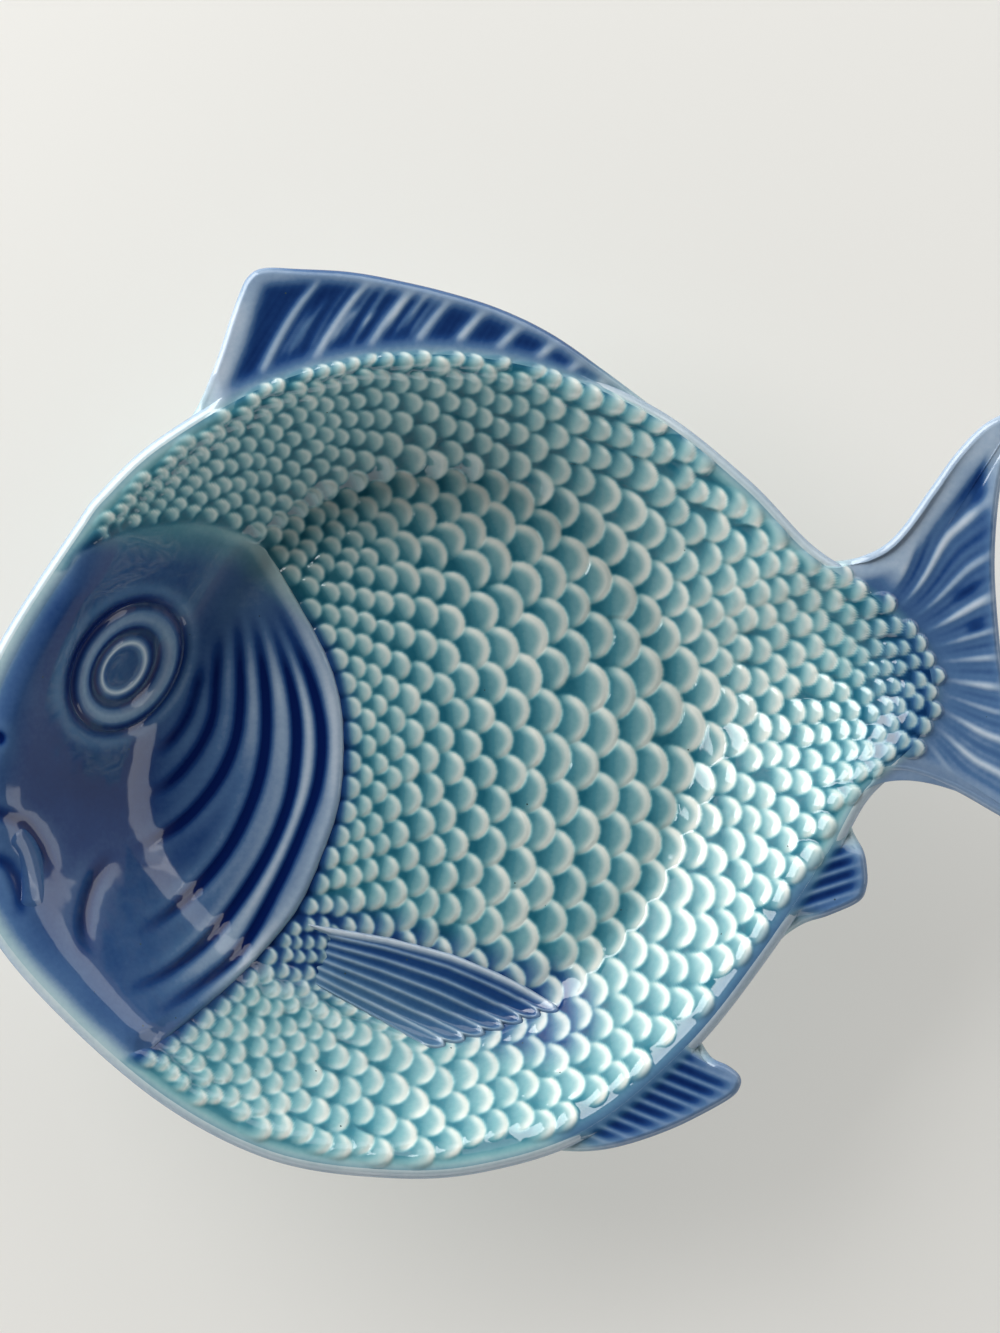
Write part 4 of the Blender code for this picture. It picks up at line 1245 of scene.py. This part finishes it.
def flowing_glaze():
    """Lead-free gloss glaze, poured and fired: teal and cobalt that run into each other.

    It pools dark in the hollows and thins to the pale clay on raised edges, with cloudy density,
    fine dark specks and a faintly rippled skin. The thinness it reads also holds painted shading
    and highlights on the scales and the back fin.
    """
    material, tree, shader = new_material("flowing_glaze")
    place = [("Vector", node(tree, "ShaderNodeTexCoord").outputs["Object"])]
    thin = node(tree, "ShaderNodeAttribute", attribute_name="thin").outputs["Fac"]
    share = node(tree, "ShaderNodeAttribute", attribute_name="cobalt").outputs["Fac"]
    clouds = node(tree, "ShaderNodeTexNoise", place, [("Scale", 1 / CLOUD_SIZE), ("Detail", 3)])
    grain = node(tree, "ShaderNodeTexNoise", place, [("Scale", 1 / GRAIN_SIZE), ("Detail", 2)])
    drift = node(tree, "ShaderNodeMath", [(0, clouds), (2, thin)], [(1, 0.14)], operation="MULTIPLY_ADD")
    cloudy = node(tree, "ShaderNodeMath", [(0, grain), (2, drift)], [(1, 0.08)], operation="MULTIPLY_ADD")
    density = node(tree, "ShaderNodeMath", [(0, cloudy)], [(1, 0.11)], operation="SUBTRACT")
    teal = node(tree, "ShaderNodeValToRGB", [("Fac", density)], stops=TEAL_STOPS)
    cobalt = node(tree, "ShaderNodeValToRGB", [("Fac", density)], stops=COBALT_STOPS)
    glaze = node(tree, "ShaderNodeMix", [("Factor", share), (6, teal), (7, cobalt)], data_type="RGBA")
    cells = node(tree, "ShaderNodeTexVoronoi", place, [("Scale", 1 / SPECK_GAP)])
    speck = node(tree, "ShaderNodeMath", [(0, cells)], [(1, 0.03)], operation="LESS_THAN")
    specked = node(
        tree, "ShaderNodeMix", [("Factor", speck), (6, glaze.outputs[2])], [(7, linear("#34474A"))],
        data_type="RGBA",
    )
    ripple = node(tree, "ShaderNodeTexNoise", place, [("Scale", 1 / RIPPLE_SIZE), ("Detail", 1)])
    bump = node(tree, "ShaderNodeBump", [("Height", ripple)], [("Strength", 0.2), ("Distance", 0.6 * MM)])
    tree.links.new(specked.outputs[2], shader.inputs["Base Color"])
    tree.links.new(bump.outputs["Normal"], shader.inputs["Normal"])
    shader.inputs["Roughness"].default_value = 0.07
    shader.inputs["IOR"].default_value = 1.52
    return material


# Clay: colours by its grit, and the grit's size, drawn coarser than real grains so that it shows
CLAY_STOPS = [(0.3, "#B9A78C"), (0.55, "#CDBDA3"), (0.75, "#DACDB6")]
GRIT_SIZE = 0.8 * MM


def bare_clay():
    """Fired white earthenware wiped free of glaze: dry, faintly sandy and a little stained."""
    material, tree, shader = new_material("bare_earthenware")
    place = node(tree, "ShaderNodeTexCoord").outputs["Object"]
    grit = node(tree, "ShaderNodeTexNoise", [("Vector", place)], [("Scale", 1 / GRIT_SIZE), ("Detail", 4)])
    color = node(tree, "ShaderNodeValToRGB", [("Fac", grit)], stops=CLAY_STOPS)
    bump = node(tree, "ShaderNodeBump", [("Height", grit)], [("Strength", 0.4), ("Distance", 0.2 * MM)])
    tree.links.new(color.outputs["Color"], shader.inputs["Base Color"])
    tree.links.new(bump.outputs["Normal"], shader.inputs["Normal"])
    shader.inputs["Roughness"].default_value = 0.85
    return material


# Stage: half its width in metres, and the share of its own even tone that a straight look sees
STAGE_REACH = 8
STAGE_TONE = 0.5


def pale_stage():
    """Plain pale floor under the bowl: matte paint, mixed with an even tone for what sees it straight."""
    mesh = bpy.data.meshes.new("floor")
    corners = [(x * STAGE_REACH, y * STAGE_REACH, 0) for x, y in ((-1, -1), (1, -1), (1, 1), (-1, 1))]
    mesh.from_pydata(corners, [], [(0, 1, 2, 3)])
    material, tree, shader = new_material("matte_paint")
    shader.inputs["Base Color"].default_value = linear("#E3E1DC")
    shader.inputs["Roughness"].default_value = 0.9
    path = node(tree, "ShaderNodeLightPath").outputs
    mirrors = [(0, path["Is Glossy Ray"]), (1, path["Is Transmission Ray"])]
    mirrored = node(tree, "ShaderNodeMath", mirrors, operation="MAXIMUM")
    seen = node(tree, "ShaderNodeMath", [(0, path["Is Camera Ray"]), (1, mirrored)], operation="MAXIMUM")
    part = node(tree, "ShaderNodeMath", [(0, seen)], [(1, STAGE_TONE)], operation="MULTIPLY")
    tone = node(tree, "ShaderNodeEmission", (), [("Color", linear("#E6E5E0")), ("Strength", 1)])
    mixed = node(tree, "ShaderNodeMixShader", [(0, part), (1, shader), (2, tone)])
    tree.links.new(mixed.outputs[0], tree.nodes["Material Output"].inputs["Surface"])
    mesh.materials.append(material)
    floor = bpy.data.objects.new("floor", mesh)
    bpy.context.collection.objects.link(floor)


# Lamps: name, place and size in metres, and power in watts; and the point that they all aim at
LAMPS = [
    ("tall_panel", (-1.22, 0.92, 0.75), (1.5, 1.35), 49),
    ("back_panel", (0.15, 1.3, 0.92), (1.4, 0.7), 6),
    ("belly_panel", (0.1, -1.5, 0.55), (1.8, 0.8), 7),
    ("side_panel", (1.07, 0.13, 0.51), (0.76, 0.37), 1.6),
    ("corner_panel", (0.81, 0.72, 0.455), (0.68, 0.52), 2),
]
LAMP_TARGET = (0, 0, 0.03)
# Surroundings: their brightness from the level up to overhead
SURROUND_STOPS = [(0.0, "#C8C7C4"), (0.25, "#B0B0AE"), (0.5, "#626364"), (0.75, "#26272A")]


def area_light(name, place, size, power):
    """Soft rectangular lamp at a place, aimed at the bowl."""
    light = bpy.data.lights.new(name, "AREA")
    light.shape = "RECTANGLE"
    light.size, light.size_y = size
    light.energy = power
    lamp = bpy.data.objects.new(name, light)
    lamp.location = place
    way = np.subtract(LAMP_TARGET, place)
    tip = math.atan2(math.hypot(way[0], way[1]), -way[2])
    lamp.rotation_euler = (tip, 0, math.atan2(way[1], way[0]) - math.pi / 2)
    bpy.context.collection.objects.link(lamp)


def studio():
    """Tall bright panel on the upper left, dimmer ones round the bowl, and surroundings dark overhead."""
    for lamp in LAMPS:
        area_light(*lamp)
    world = bpy.data.worlds.new("surroundings")
    world.use_nodes = True
    tree = world.node_tree
    way = node(tree, "ShaderNodeTexCoord").outputs["Generated"]
    height = node(tree, "ShaderNodeSeparateXYZ", [("Vector", way)]).outputs["Z"]
    shade = node(tree, "ShaderNodeValToRGB", [("Fac", height)], stops=SURROUND_STOPS)
    background = tree.nodes["Background"]
    tree.links.new(shade.outputs["Color"], background.inputs["Color"])
    background.inputs["Strength"].default_value = 1
    bpy.context.scene.world = world


def camera():
    """Camera straight above the bowl, framed as the photograph is."""
    data = bpy.data.cameras.new("camera")
    data.sensor_fit = "AUTO"
    data.sensor_width = SENSOR
    data.lens = SENSOR * CAMERA_RISE / (PHOTO_TALL * PIXEL)
    eye_point = bpy.data.objects.new("camera", data)
    eye_point.location = (np.append(AIM, RIM_HEIGHT + CAMERA_RISE) + SHIFT) * MM
    bpy.context.collection.objects.link(eye_point)
    bpy.context.scene.camera = eye_point
    bpy.context.scene.view_settings.view_transform = "Standard"


camera()
glaze = flowing_glaze()
clay = bare_clay()
wall_angles = basin_floor(glaze)
basin_wall("basin_wall_low", 0, 0.5, wall_angles, glaze)
basin_wall("basin_wall_high", 0.5, 1, wall_angles, glaze)
outer_shell(wall_angles, glaze)
foot_ring(clay)
rim_fin("back_fin", "dorsal_fin", 460, 64, glaze)
rim_fin("tail", "tail_fin", 560, 80, glaze)
rim_fin("belly_fin_rear", "anal_fin", 200, 48, glaze)
rim_fin("belly_fin_front", "pelvic_fin", 240, 48, glaze)
head_plate(glaze)
eye(glaze)
lips(glaze)
pectoral_fin(glaze)
pale_stage()
studio()
